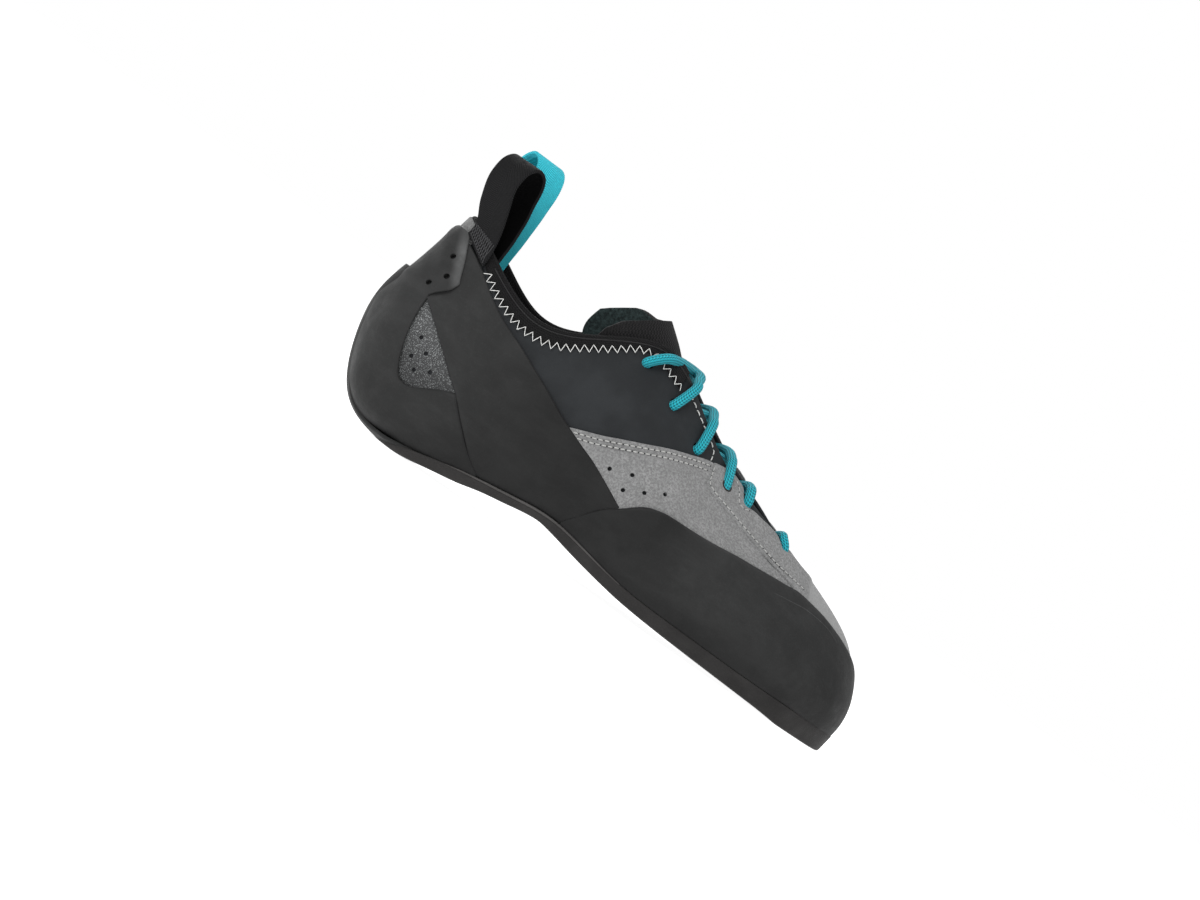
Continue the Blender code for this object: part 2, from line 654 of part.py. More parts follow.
def add_overlays(home):
    """Rubber and suede pieces laid over the upper."""
    rubber = (0.032, 0.033, 0.034)
    suede = (0.22, 0.22, 0.22)
    rand = overlay_rows(TOE_RAND, TOE_A)
    toe = np.vstack((rand[-2:], toe_rows(0.0, None, 0.0)))
    rand = np.vstack((refine(rand[:-1], 13.0), refine(toe, 6.5)[1:]))
    spots, faces = patch((np.vstack((rand, mirrored(rand, TOE_A)[1:])),), 8)
    add_piece(home, "toe_rand", *shell(spots, faces, LAY + 0.1, LAY + RUBBER), rubber, 0.6)
    stay = np.vstack((refine(overlay_rows(EYESTAY, TOE_A), 11.0),
                      refine(toe_rows(None, 0.985, 0.6), 5.0)))
    spots, faces = patch((np.vstack((stay, mirrored(stay, TOE_A)[1:])),), 4)
    add_piece(home, "eyestay", *shell(spots, faces, LAY, LAY + EYESTAY_SUEDE), suede, 0.95)
    cap = refine(overlay_rows(HEEL_CAP, 0.0), 7.0)
    spots, faces = patch((cap, mirrored(cap, 0.0)), 7)
    inner = LAY + 0.25 + 0.7 * np.clip(1.0 - spots[:, 1] / 0.36, 0.0, 1.0)
    add_piece(home, "heel_cap", *shell(spots, faces, inner, LAY + RUBBER), rubber, 0.6)
    band = refine(overlay_rows(TENSION_BAND, 0.0), 8.0)
    panel = refine(overlay_rows(VAMP, 0.0), 8.0)
    for side, turn in (("lateral", False), ("medial", True)):
        rows = mirrored(band, TOE_A) if turn else band
        spots, faces = patch((rows,), 6)
        solid = shell(spots, faces, LAY, LAY + BAND_RUBBER)
        add_piece(home, "tension_band_" + side, *solid, rubber, 0.6)
        rows = mirrored(panel, TOE_A) if turn else panel
        spots, faces = patch((rows,), 4)
        solid = shell(spots, faces, LAY + 0.35, LAY + 0.35 + SUEDE)
        add_piece(home, "vamp_" + side, *solid, suede, 0.95)


def settle_origin(home):
    """Move every vertex so that the origin is under the middle of the shoe."""
    bpy.context.view_layer.update()
    corners = []
    for item in home.objects:
        for vertex in item.data.vertices:
            corners.append(tuple(vertex.co))
    corners = np.array(corners)
    middle = 0.5 * (corners.min(0) + corners.max(0))
    return np.array((HALF_LENGTH * MM, middle[1], 0.0))


def main():
    for item in list(bpy.data.objects):
        bpy.data.objects.remove(item, do_unlink=True)
    home = bpy.data.collections.new("climbing_shoe")
    tools = bpy.data.collections.new("cutters")
    for collection in (home, tools):
        bpy.context.scene.collection.children.link(collection)
    add_outsole(home, tools)
    add_insole(home)
    add_upper(home)
    add_tongue(home)
    add_overlays(home)
    add_lace(home)
    add_pull_loop(home, "pull_loop_lateral", -1.0, -6.0, 1.0, 0.0, (0.012, 0.012, 0.013))
    add_pull_loop(home, "pull_loop_medial", 1.0, -2.0, 1.12, 0.0, (0.02, 0.36, 0.42))
    shift = settle_origin(home)
    for item in list(home.objects) + list(tools.objects):
        for vertex in item.data.vertices:
            vertex.co = [float(v) for v in np.array(vertex.co) - shift]


main()
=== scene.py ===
"""Looks of the climbing shoe: every piece is laid over one last function.

Lengths in the tables are millimetres in a level frame: x from the back of the heel
to the toe, y to the medial side, z up from the ground.
"""
import math

import bpy
import numpy as np
from bpy.props import FloatProperty, FloatVectorProperty, PointerProperty
from bpy.types import Operator, Panel, PropertyGroup
from mathutils import Matrix, Vector


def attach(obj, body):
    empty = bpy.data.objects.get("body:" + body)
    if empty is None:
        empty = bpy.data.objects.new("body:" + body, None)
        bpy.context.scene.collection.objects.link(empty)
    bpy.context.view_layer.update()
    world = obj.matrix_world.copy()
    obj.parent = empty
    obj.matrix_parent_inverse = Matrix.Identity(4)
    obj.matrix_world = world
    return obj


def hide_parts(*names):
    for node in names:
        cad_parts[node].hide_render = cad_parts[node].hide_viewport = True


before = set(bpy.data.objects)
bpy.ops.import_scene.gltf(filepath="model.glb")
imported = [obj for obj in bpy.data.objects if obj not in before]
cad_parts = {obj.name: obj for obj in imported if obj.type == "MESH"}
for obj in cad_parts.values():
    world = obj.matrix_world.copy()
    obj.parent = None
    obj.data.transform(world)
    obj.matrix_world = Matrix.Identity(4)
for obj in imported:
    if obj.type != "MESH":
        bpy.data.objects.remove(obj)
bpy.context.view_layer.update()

bl_info = {
    "name": "Climbing Shoe",
    "version": (1, 0, 0),
    "blender": (4, 5, 0),
    "location": "View3D > Sidebar > Shoe",
    "description": "Builds the looks of a lace-up climbing shoe round its CAD frame",
    "category": "Object",
}

MM = 0.001
ORIGIN = np.array((124.475, 0.178, 0.0))

# The last, seen from the side: one row for each station from heel to toe.
# x_base, x_low, x_wide, x_shoulder, x_top, z_base, z_low, z_wide, z_shoulder, z_top, lift
SIDE = {
    "heel": (34.5, 16.4, 5.0, 7.9, 14.0, 5.2, 12.4, 42.0, 66.0, 93.5, 0.0),
    "heel_quarter": (39.0, 22.5, 13.5, 15.5, 19.5, 5.2, 13.0, 41.5, 66.0, 90.5, 1.0),
    "heel_side": (51.0, 42.0, 36.0, 34.0, 32.5, 7.0, 17.0, 40.0, 62.0, 83.8, 3.4),
    "ankle": (69.0, 64.0, 60.0, 57.0, 56.0, 10.8, 22.0, 38.0, 59.0, 74.7, 2.1),
    "waist": (92.0, 89.0, 85.0, 81.0, 79.5, 14.5, 25.0, 40.0, 63.0, 81.8, 1.4),
    "instep": (114.0, 112.0, 110.0, 107.5, 106.0, 16.2, 25.0, 40.0, 68.0, 95.5, 1.0),
    "ball_rear": (143.0, 141.0, 138.0, 133.0, 130.0, 11.6, 20.0, 33.0, 60.0, 86.0, 1.9),
    "ball": (172.0, 170.0, 167.0, 161.0, 155.0, 10.0, 18.0, 28.0, 50.0, 71.0, 3.2),
    "toe_joint": (201.0, 199.5, 196.5, 187.0, 177.0, 9.5, 17.5, 26.5, 46.0, 63.8, 1.6),
    "toe_quarter": (229.0, 229.0, 226.0, 213.0, 194.0, 9.4, 17.0, 26.0, 42.5, 57.4, 0.0),
    "toe": (246.8, 247.2, 244.0, 231.0, 204.0, 8.8, 16.0, 27.5, 43.1, 54.3, 0.0),
}

# The last, seen from above: lateral then medial breadth at base, low, wide, shoulder, top.
BREADTH = {
    "heel": (0.0, 0.0, 0.0, 0.0, 0.0, 0.0, 0.0, 0.0, 0.0, 0.0),
    "heel_quarter": (13.5, 17.0, 21.5, 18.5, 14.5, 13.5, 17.0, 21.5, 18.5, 14.5),
    "heel_side": (23.5, 28.0, 30.0, 26.5, 22.5, 23.5, 28.0, 30.0, 26.5, 22.5),
    "ankle": (27.0, 31.5, 32.5, 29.5, 26.5, 26.0, 30.5, 32.5, 30.0, 26.5),
    "waist": (30.0, 34.5, 35.5, 32.0, 26.0, 24.0, 29.5, 32.5, 31.5, 26.0),
    "instep": (34.0, 38.5, 39.5, 34.5, 19.0, 28.0, 33.5, 36.0, 34.0, 20.0),
    "ball_rear": (41.0, 45.0, 45.5, 35.0, 13.5, 37.5, 42.0, 42.5, 34.5, 15.0),
    "ball": (41.5, 45.0, 44.5, 32.5, 11.0, 42.5, 46.5, 46.0, 33.5, 13.0),
    "toe_joint": (34.0, 37.5, 36.5, 25.5, 9.0, 42.5, 46.0, 45.0, 33.0, 12.0),
    "toe_quarter": (17.5, 20.0, 19.0, 13.5, 6.5, 39.5, 42.0, 40.5, 29.5, 10.5),
    "toe": (-17.0, -17.0, -16.5, -14.0, -3.5, 17.0, 17.0, 16.5, 14.0, 3.5),
}
RIB_T = np.array((0.0, 0.2, 0.45, 0.75, 1.0))
TOE_A = float(len(SIDE) - 1)
RING = 2.0 * TOE_A

# Underside of the sole: x along the shoe and z of the tread, flat under heel and toe.
UNDERSIDE = (
    (28.0, 1.0), (31.0, 0.55), (34.0, 0.12), (38.0, 0.0), (42.0, 0.03), (46.0, 0.4), (50.0, 1.0), (54.0, 1.8),
    (60.0, 2.9), (70.0, 4.7), (80.0, 7.2), (90.0, 9.0), (98.0, 10.5), (105.0, 11.2), (112.0, 10.3), (125.0, 7.8),
    (140.0, 5.4), (152.0, 4.0), (170.0, 2.9), (200.0, 1.7), (218.0, 0.9), (228.0, 0.0),
)
# Rubber strip up the back of the heel: height along the rib, half width along the ring.
TAIL = (
    (0.0, 1.95), (0.05, 1.3), (0.10, 0.85), (0.15, 0.58), (0.2, 0.44), (0.27, 0.36),
    (0.34, 0.33), (0.45, 0.32), (0.58, 0.35), (0.713, 0.4),
)

# Overlays, one row across each piece: x_low, z_low, x_high, z_high in the side view.
# An empty z_low stands for the feather line, an empty x for the centre line.
TOE_RAND = (
    (112.6, None, 112.9, 17.6), (118.0, None, 117.0, 22.9), (122.5, None, 123.3, 30.0),
    (126.5, None, 128.5, 33.9), (131.5, None, 135.0, 39.2), (138.0, None, 141.7, 41.7),
    (147.0, None, 150.0, 42.4), (172.0, None, 173.0, 44.0), (186.0, None, 186.0, 45.2),
    (200.0, None, 198.0, 46.2), (213.0, None, 205.5, 46.7),
)
# Where rubber and suede meet over the toe: ring position and height.
TOE_EDGE = ((9.0, 46.7), (9.25, 45.0), (9.5, 42.3), (9.75, 38.7), (9.9, 36.6), (10.0, 35.6))
TENSION_BAND = (
    (18.4, 57.0, 14.5, 62.0), (22.0, 54.3, 16.0, 69.0), (26.0, 51.3, 17.5, 77.5),
    (30.0, 48.2, 18.3, 84.0), (36.0, 43.5, 26.5, 80.9), (42.0, 38.7, 34.8, 75.1),
    (51.0, 31.8, 45.2, 68.7), (60.6, 23.0, 58.0, 63.6), (70.4, 15.0, 71.0, 58.2),
    (77.0, None, 80.0, 54.3), (88.0, None, 90.0, 49.8), (100.0, None, 101.0, 45.8),
    (114.0, None, 110.0, 42.7), (121.0, None, 119.0, 38.7), (127.0, None, 128.0, 34.4),
)
VAMP = (
    (92.0, 44.0, 93.5, 48.2), (103.0, 40.0, 105.0, 52.7), (112.0, 36.5, 113.5, 56.5),
    (121.0, 32.0, 122.0, 60.2), (128.6, 30.0, 130.0, 63.8), (135.0, 35.0, 138.0, 66.6),
    (141.7, 38.0, 147.0, 69.2), (147.0, 38.5, 153.0, 67.6), (158.0, 39.5, 163.0, 63.0),
    (173.0, 41.0, 174.0, 59.0), (186.0, 42.0, 187.0, 54.5), (198.0, 43.5, 199.0, 50.5), (206.5, 43.5, 207.0, 49.0),
)
EYESTAY = (
    (149.6, 60.4, 147.8, 69.3), (152.0, 59.2, 152.2, 69.9), (156.5, 57.8, 157.0, 69.9),
    (159.5, 57.0, 160.2, 69.3), (162.3, 56.3, 162.8, 67.8), (164.6, 55.7, 164.8, 65.4),
    (166.6, 55.2, 166.4, 63.2), (168.5, 54.7, 168.2, 62.4), (170.8, 54.2, 170.2, 62.5),
    (173.5, 53.6, 172.8, 62.5), (178.5, 52.4, 177.0, 61.8), (183.0, 51.3, 181.5, 61.2),
    (187.5, 50.3, 185.0, 60.2), (191.5, 49.4, 187.6, 58.5), (195.0, 48.6, 189.8, 57.0),
    (199.5, 47.5, 191.6, 57.7), (205.0, 45.6, 193.0, None),
)
HEEL_CAP = (
    (75.5, None, 73.8, 13.6), (69.0, None, 66.0, 18.7), (61.0, None, 59.6, 24.2),
    (54.0, None, 50.5, 33.4), (49.5, None, 45.5, 31.6), (46.0, None, 40.0, 28.7),
    (43.0, None, 34.0, 25.3), (41.2, None, 28.7, 25.5), (39.8, None, 25.0, 30.2),
    (None, 5.6, 21.8, 38.3), (None, 13.0, 19.7, 48.0), (None, 24.0, 19.2, 58.0),
    (None, 40.0, 20.9, 59.9), (None, 50.0, 25.1, 64.3), (None, 57.0, 26.4, 68.5),
    (None, 66.0, 23.2, 76.9), (None, 76.0, 20.4, 83.9), (None, 86.9, 19.4, 87.2),
)
# Rows of the heel cap where its edge turns sharply.
HEEL_CAP_CORNERS = (3, 11, 13, 14, 16)
# Pebbled leather seen through the opening of the heel cap.
HEEL_WINDOW = (
    (22.0, 24.0, 15.5, 60.0), (28.0, 21.5, 18.5, 59.5), (34.0, 21.0, 23.5, 55.5),
    (40.0, 22.5, 31.5, 49.5), (46.0, 24.5, 40.0, 42.5), (53.5, 26.5, 52.0, 33.5),
)
# White zigzag seam between the quarter and the knit collar.
COLLAR_SEAM = (
    (25.0, 84.0), (31.7, 79.0), (40.0, 74.0), (50.0, 70.0), (61.7, 68.8), (71.7, 71.3),
    (81.7, 77.5), (90.0, 83.0), (96.7, 88.0), (103.3, 90.4), (111.7, 88.8), (116.7, 87.1),
    (121.0, 85.4),
)
# Tongue sections: x and z of the ridge and of the far wing, lateral and medial half width, swell,
# x and z of the near wing.
TONGUE_ROWS = {
    "tip": (102.2, 106.3, 73.9, 91.8, 22.0, 22.5, 3.6, 81.5, 86.0),
    "fold": (110.0, 100.2, 76.5, 80.5, 22.0, 22.5, 3.2, 82.0, 78.5),
    "top_eyelet": (118.0, 93.2, 91.0, 76.0, 21.5, 22.0, 1.5, 91.0, 76.0),
    "second_eyelet": (128.0, 87.0, 109.0, 72.0, 20.0, 20.5, 0.6, 109.0, 72.0),
    "third_eyelet": (140.0, 76.8, 128.0, 67.0, 18.5, 19.0, 0.0, 128.0, 67.0),
    "mid_throat": (155.0, 67.8, 146.0, 60.5, 17.5, 18.0, 0.0, 146.0, 60.5),
    "low_throat": (170.0, 61.0, 163.0, 54.5, 16.0, 17.0, 0.0, 163.0, 54.5),
    "root": (186.0, 53.8, 181.0, 48.6, 13.0, 15.0, 0.0, 181.0, 48.6),
}
# Share of the swell over the turn from the ridge, in degrees, towards the far and the near wing.
TONGUE_FAR = ((0.0, 0.0), (26.0, 0.0), (36.0, 0.1), (48.0, 0.82), (56.0, 1.0), (67.0, 0.8), (78.0, 0.56), (90.0, 0.15))
TONGUE_NEAR = ((0.0, 0.0), (20.0, 0.1), (34.0, 0.26), (55.0, 0.54), (70.0, 0.74), (84.0, 0.34), (90.0, 0.1))
# Vent holes and lace holes in the side view.
WINDOW_VENTS = ((25.9, 43.2), (31.1, 39.1), (26.9, 35.1), (36.7, 34.1), (30.9, 31.2))
CAP_VENTS = ((19.2, 75.7), (21.3, 67.7), (17.2, 61.6))
VAMP_VENTS = ((116.2, 44.3), (124.7, 47.3), (125.2, 40.5), (132.5, 44.3), (139.3, 48.3))
EYELETS = ((104.2, 87.0), (122.2, 79.7), (139.7, 70.8), (157.0, 64.2), (168.0, 63.9), (190.6, 57.6))
# Pull loops: ring position, shift along the collar and stretch of each, the way they face, and along the
# webbing its distance out from the collar edge and height above it.
LATERAL_LOOP = (1.47, -7.0, 1.0)
MEDIAL_LOOP = (RING - 1.6, -3.4, 1.12)
LOOP_FACING = (0.58, 0.81)
LOOP_PATH = (
    (3.0, -4.4), (2.5, -2.0), (2.3, 2.0), (2.5, 8.0), (3.8, 16.0), (5.0, 25.0), (3.6, 32.0), (-1.5, 35.6),
    (-7.5, 33.6), (-10.6, 27.0), (-10.4, 18.0), (-7.6, 9.0), (-5.0, 1.5), (-4.4, -6.0),
)
# Crossings of the lace: x and z of the middle, z where a strand goes under the throat's edge,
# how much lower the far strand lies, and how far the bend stands forward.
LACE_OVER = (
    (123.4, 94.9, 92.0, 1.0, 0.7), (136.2, 86.2, 83.4, 2.6, -0.4), (151.0, 76.8, 74.2, 3.6, -0.9),
    (164.8, 70.2, 66.8, 4.5, -0.4), (186.2, 61.6, 59.4, 3.4, -1.5),
)
# Where the first crossing lies on the collar, how much further back its far strand is, how deep a strand
# goes into an eyelet and how far it stands out there, and the size of the lowest crossing.
LACE_REST = (110.5, 92.3, 2.6)
LACE_BACK = 3.2
LACE_DEEP = -3.0
LACE_PROUD = 1.2
LACE_LOWEST = 0.82
# Stitch lines in the side view.
THROAT_STITCH = (
    (125.0, 86.6), (127.9, 84.9), (132.7, 82.0), (138.7, 78.3), (143.4, 75.4), (145.2, 74.0), (146.1, 72.4),
    (146.8, 69.4),
)
VAMP_STITCHES = (
    ((96.5, 47.6), (106.7, 51.3), (120.0, 57.2), (133.0, 62.9), (143.0, 66.2), (147.5, 67.3)),
    ((99.0, 46.5), (106.7, 49.2), (120.0, 55.0), (133.0, 60.6), (143.0, 64.0), (147.5, 65.2)),
)
STAY_STITCH = (
    (148.6, 67.2), (149.6, 64.0), (150.6, 61.4), (153.0, 60.0), (157.0, 58.7), (163.0, 57.2), (171.0, 55.1),
    (180.0, 53.0), (190.0, 50.8), (199.0, 49.4), (206.0, 48.4),
)
NOTCH_STITCH = ((159.0, 67.9), (161.6, 66.2), (163.4, 63.6), (165.2, 61.4), (168.0, 60.7), (170.6, 61.4))
# Ridge along the chamfered edge of the rand.
RAND_RIDGE = ((193.0, 40.0), (201.0, 41.0), (210.5, 42.0), (219.5, 41.2), (226.0, 39.4), (231.0, 36.8))
# Soft folds of rubber and suede: side view lines from x, z to x, z, their rise and half width.
BAND_FOLDS = (
    (28.0, 74.0, 38.0, 56.0, -0.7, 3.2), (40.0, 60.0, 62.0, 38.0, 0.6, 4.5), (52.0, 42.0, 74.0, 22.0, -0.6, 3.6),
    (78.0, 44.0, 104.0, 30.0, -0.65, 4.2), (92.0, 26.0, 116.0, 24.0, 0.5, 3.0),
)
CAP_FOLDS = (
    (13.0, 84.0, 19.0, 66.0, 0.4, 2.2), (10.0, 56.0, 14.0, 34.0, 0.35, 4.0), (14.0, 26.0, 36.0, 16.0, -0.3, 4.0),
)
RAND_FOLDS = (
    (126.0, 26.0, 150.0, 34.0, -0.6, 3.4), (150.0, 30.0, 185.0, 36.0, 0.5, 5.0), (168.0, 22.0, 204.0, 25.0, -0.5, 4.4),
    (205.0, 33.0, 232.0, 31.0, 0.25, 5.0),
)
SUEDE_FOLDS = (
    (112.0, 52.0, 138.0, 54.0, -0.45, 2.6), (150.0, 47.0, 176.0, 49.0, -0.55, 3.0),
    (186.0, 50.0, 200.0, 53.0, -0.45, 2.4), (140.0, 58.0, 152.0, 52.0, 0.3, 2.6),
)
# Depth of each layer below its face.
DEPTH = {
    "heel_strip": 3.6, "toe_rand": 2.0, "heel_cap": 1.9, "tension_band": 1.6, "vamp": 1.2, "eyestay": 1.9,
    "heel_tab": 1.3, "heel_window": 0.7,
}
# Distance within which seams close, and how far a punch reaches to each side.
SEAM_GAP = 0.002
PUNCH_REACH = 3.0
# Angle up to which small round pieces are smooth, in degrees.
ROUND_ANGLE = 60.0
# Camera: the middle of the picture in the side view, its width there, and its angles.
VIEW_MIDDLE = (108.66, 47.85)
VIEW_WIDTH = 478.3
VIEW_DISTANCE = 2.2
VIEW_LIFT = 0.4
VIEW_ROLL = 35.58
SENSOR_WIDTH = 36.0
# Studio lights: name, place, width in metres and power in watts.
STUDIO_LIGHTS = (
    ("key_light", (-0.8, -1.1, 1.3), 0.9, 16.0),
    ("fill_light", (1.1, -1.2, 0.7), 1.2, 5.0),
    ("top_light", (0.0, 0.3, 1.8), 1.5, 10.0),
    ("back_light", (-0.6, 1.3, 0.9), 0.9, 8.0),
)
LIGHT_TARGET = (0.0, 0.0, 0.05)
# Width of the floor in metres and its glow, lit from below; heights and strengths of the sky's fade.
FLOOR_WIDTH = 60.0
FLOOR_GLOW = 0.95
SKY_FADE = (0.16, 0.45, 1.0, 0.35)


def station_points():
    """Control points of the last, ring station by rib row."""
    names = list(SIDE)
    ring = [(name, -1.0) for name in names] + [(name, 1.0) for name in reversed(names[1:-1])]
    table = np.zeros((len(ring), 5, 3))
    for index, (name, hand) in enumerate(ring):
        side = SIDE[name]
        table[index, :, 0] = side[:5]
        table[index, :, 1] = np.array(BREADTH[name][:5] if hand < 0.0 else BREADTH[name][5:]) * hand
        table[index, :, 2] = side[5:10]
        if hand > 0.0:
            table[index, 4, 2] += side[10]
    return table


def ring_bends(points):
    """Second differences of a closed cubic spline on unit steps."""
    count = len(points)
    matrix = 4.0 * np.eye(count) + np.roll(np.eye(count), 1, 0) + np.roll(np.eye(count), -1, 0)
    flat = points.reshape(count, -1)
    right = 6.0 * (np.roll(flat, 1, 0) - 2.0 * flat + np.roll(flat, -1, 0))
    return np.linalg.solve(matrix, right).reshape(points.shape)


def rib_matrix():
    """Matrix from rib values to the bends of a natural cubic spline."""
    count = len(RIB_T)
    left = np.eye(count)
    right = np.zeros((count, count))
    for row in range(1, count - 1):
        before = RIB_T[row] - RIB_T[row - 1]
        after = RIB_T[row + 1] - RIB_T[row]
        left[row, row - 1:row + 2] = before, 2.0 * (before + after), after
        right[row, row - 1:row + 2] = 6.0 / before, -6.0 / before - 6.0 / after, 6.0 / after
    return np.linalg.solve(left, right)


POINTS = station_points()
BENDS = ring_bends(POINTS)
RIB_BENDS = rib_matrix()


def last(a, t):
    """Outer face of the upper at ring position a and rib height t."""
    a = np.atleast_1d(np.asarray(a, float)) % RING
    t = np.atleast_1d(np.asarray(t, float))
    a, t = np.broadcast_arrays(a, t)
    one = np.floor(a).astype(int) % int(RING)
    two = (one + 1) % int(RING)
    f = (a - np.floor(a))[:, None, None]
    g = 1.0 - f
    rib = g * POINTS[one] + f * POINTS[two]
    rib = rib + (g ** 3 - g) / 6.0 * BENDS[one] + (f ** 3 - f) / 6.0 * BENDS[two]
    bends = np.einsum("ij,njk->nik", RIB_BENDS, rib)
    low = np.clip(np.searchsorted(RIB_T, t, side="right") - 1, 0, len(RIB_T) - 2)
    step = (RIB_T[low + 1] - RIB_T[low])[:, None]
    q = (t - RIB_T[low])[:, None] / step
    p = 1.0 - q
    pick = np.arange(len(a))
    value = p * rib[pick, low] + q * rib[pick, low + 1]
    cubic = (p ** 3 - p) * bends[pick, low] + (q ** 3 - q) * bends[pick, low + 1]
    return value + cubic * step ** 2 / 6.0


def skin_normal(a, t):
    """Outward direction of the last."""
    step = 0.01
    along = last(a + step, t) - last(a - step, t)
    across = last(a, np.minimum(t + step, 1.0)) - last(a, np.maximum(t - step, 0.0))
    return unit(np.cross(along, across))


def skin(a, t, out):
    """The last moved out along its normal."""
    a, t, out = np.broadcast_arrays(*(np.atleast_1d(np.asarray(v, float)) for v in (a, t, out)))
    return last(a, t) + skin_normal(a, t) * out[:, None]


def locate(x, z):
    """Ring and rib position of a side view point on the lateral half."""
    a_mid, t_mid, a_span, t_span = 0.5 * TOE_A, 0.5, 0.5 * TOE_A, 0.5
    for count in (101, 21, 21, 21):
        a_line = np.clip(np.linspace(a_mid - a_span, a_mid + a_span, count), 0.0, TOE_A)
        t_line = np.clip(np.linspace(t_mid - t_span, t_mid + t_span, count), 0.0, 1.0)
        a_grid, t_grid = (grid.ravel() for grid in np.meshgrid(a_line, t_line))
        found = last(a_grid, t_grid)
        best = int(np.argmin((found[:, 0] - x) ** 2 + (found[:, 2] - z) ** 2))
        a_mid, t_mid = a_grid[best], t_grid[best]
        a_span = a_span * 3.0 / count
        t_span = t_span * 3.0 / count
    return float(a_mid), float(t_mid)


def along_edge(x, t):
    """Ring position where an edge of the lateral half reaches x."""
    line = np.linspace(0.0, TOE_A, 801)
    return float(np.interp(x, last(line, t)[:, 0], line))


def up_centre(a, z):
    """Rib height where one rib reaches z."""
    line = np.linspace(0.0, 1.0, 401)
    return float(np.interp(z, last(np.full(401, a), line)[:, 2], line))


def corner(x, z, centre, edge):
    """Ring and rib position of one end of an overlay row."""
    if x is None:
        return centre, up_centre(centre, z)
    if z is None:
        return along_edge(x, edge), edge
    return locate(x, z)


def overlay_rows(table, centre=0.0):
    """Low and high ends of each overlay row in ring and rib positions."""
    return np.array([(corner(x_low, z_low, centre, 0.0), corner(x_high, z_high, centre, 1.0))
                     for x_low, z_low, x_high, z_high in table])


def unit(vectors):
    """Rows of vectors at a length of one."""
    return vectors / np.linalg.norm(vectors, axis=1)[:, None]


def collar_edge(ring):
    """The collar's edge at ring positions, its outward direction and the way up to it."""
    edge = last(ring, 1.0)
    return edge, skin_normal(ring, np.ones(len(ring))), unit(edge - last(ring, 0.98))


def mirrored(rows, centre=TOE_A):
    """The same rows, or spots, on the medial half."""
    other = rows.copy()
    other[..., 0] = 2.0 * centre - other[..., 0]
    return other[::-1]


def both_sides(rows):
    """Rows on the lateral half and their mirror image on the medial half, by name."""
    return ("lateral", rows), ("medial", mirrored(rows))


def smooth_path(points, steps):
    """Curve through points of any kind, some steps for each span."""
    points = np.asarray(points, float)
    ends = (2.0 * points[:1] - points[1:2], points, 2.0 * points[-1:] - points[-2:-1])
    padded = np.concatenate(ends)
    result = []
    for i in range(1, len(padded) - 2):
        p0, p1, p2, p3 = padded[i - 1:i + 3]
        for f in np.arange(steps) / steps:
            result.append(0.5 * (2.0 * p1 + (p2 - p0) * f + (2.0 * p0 - 5.0 * p1 + 4.0 * p2 - p3) * f ** 2
                                 + (3.0 * p1 - p0 - 3.0 * p2 + p3) * f ** 3))
    result.append(padded[-2])
    return np.array(result)


def travelled(points):
    """Distance run along a path of points."""
    steps = np.linalg.norm(np.diff(points, axis=0), axis=1)
    return np.concatenate(((0.0,), np.cumsum(steps)))


def spaced(points, run, distances):
    """Values at given distances along a path."""
    flat = points.reshape(len(points), -1)
    columns = [np.interp(distances, run, column) for column in flat.T]
    return np.stack(columns, axis=1).reshape(len(distances), *points.shape[1:])


def resample(rows, longest, corners=()):
    """Overlay rows at even steps, curved between corners."""
    cuts = (0, *corners, len(rows) - 1)
    parts = []
    for first, final in zip(cuts[:-1], cuts[1:]):
        dense = smooth_path(rows[first:final + 1], 10)
        low, high = (last(dense[:, k, 0], dense[:, k, 1]) for k in (0, 1))
        run = np.maximum(travelled(low), travelled(high))
        count = max(2, int(math.ceil(run[-1] / longest)))
        parts.append(spaced(dense, run, np.linspace(0.0, run[-1], count + 1))[:-1])
    parts.append(rows[-1:])
    return np.concatenate(parts)


def line_spots(table, longest):
    """Even spots along a side view line on the lateral half."""
    dense = smooth_path(np.array([locate(x, z) for x, z in table]), 12)
    run = travelled(last(dense[:, 0], dense[:, 1]))
    count = max(2, int(round(run[-1] / longest)))
    return spaced(dense, run, np.linspace(0.0, run[-1], count + 1))


def rolled(distance, roll):
    """How far a rounded rim has dropped at a distance from its edge, from 1 to 0."""
    inside = np.clip(1.0 - distance / roll, 0.0, 1.0)
    return 1.0 - np.sqrt(1.0 - inside ** 2)


def cross_lines(width, across, roll):
    """Distances across one overlay row, closer together at both rims."""
    rim = np.array((0.0, 0.12, 0.35, 0.65, 1.0)) * min(roll, 0.4 * width)
    middle = np.linspace(rim[-1], width - rim[-1], across - 7)
    return np.concatenate((rim[:-1], middle, width - rim[-2::-1]))


def swell(value, start, end):
    """A smooth step from 0 to 1 between two marks."""
    share = np.clip((value - start) / (end - start), 0.0, 1.0)
    return share * share * (3.0 - 2.0 * share)


def creased(folds):
    """Relief of soft folds: side view line from x, z to x, z, with its rise and half width."""
    def relief(places):
        total = np.zeros(len(places))
        for x_one, z_one, x_two, z_two, rise, width in folds:
            start = np.array((x_one, z_one))
            run = np.array((x_two, z_two)) - start
            far = places[:, (0, 2)] - start
            share = np.clip(far @ run / (run @ run), 0.0, 1.0)
            total += rise * np.exp(-((far - share[:, None] * run) ** 2).sum(1) / width ** 2)
        return total
    return relief


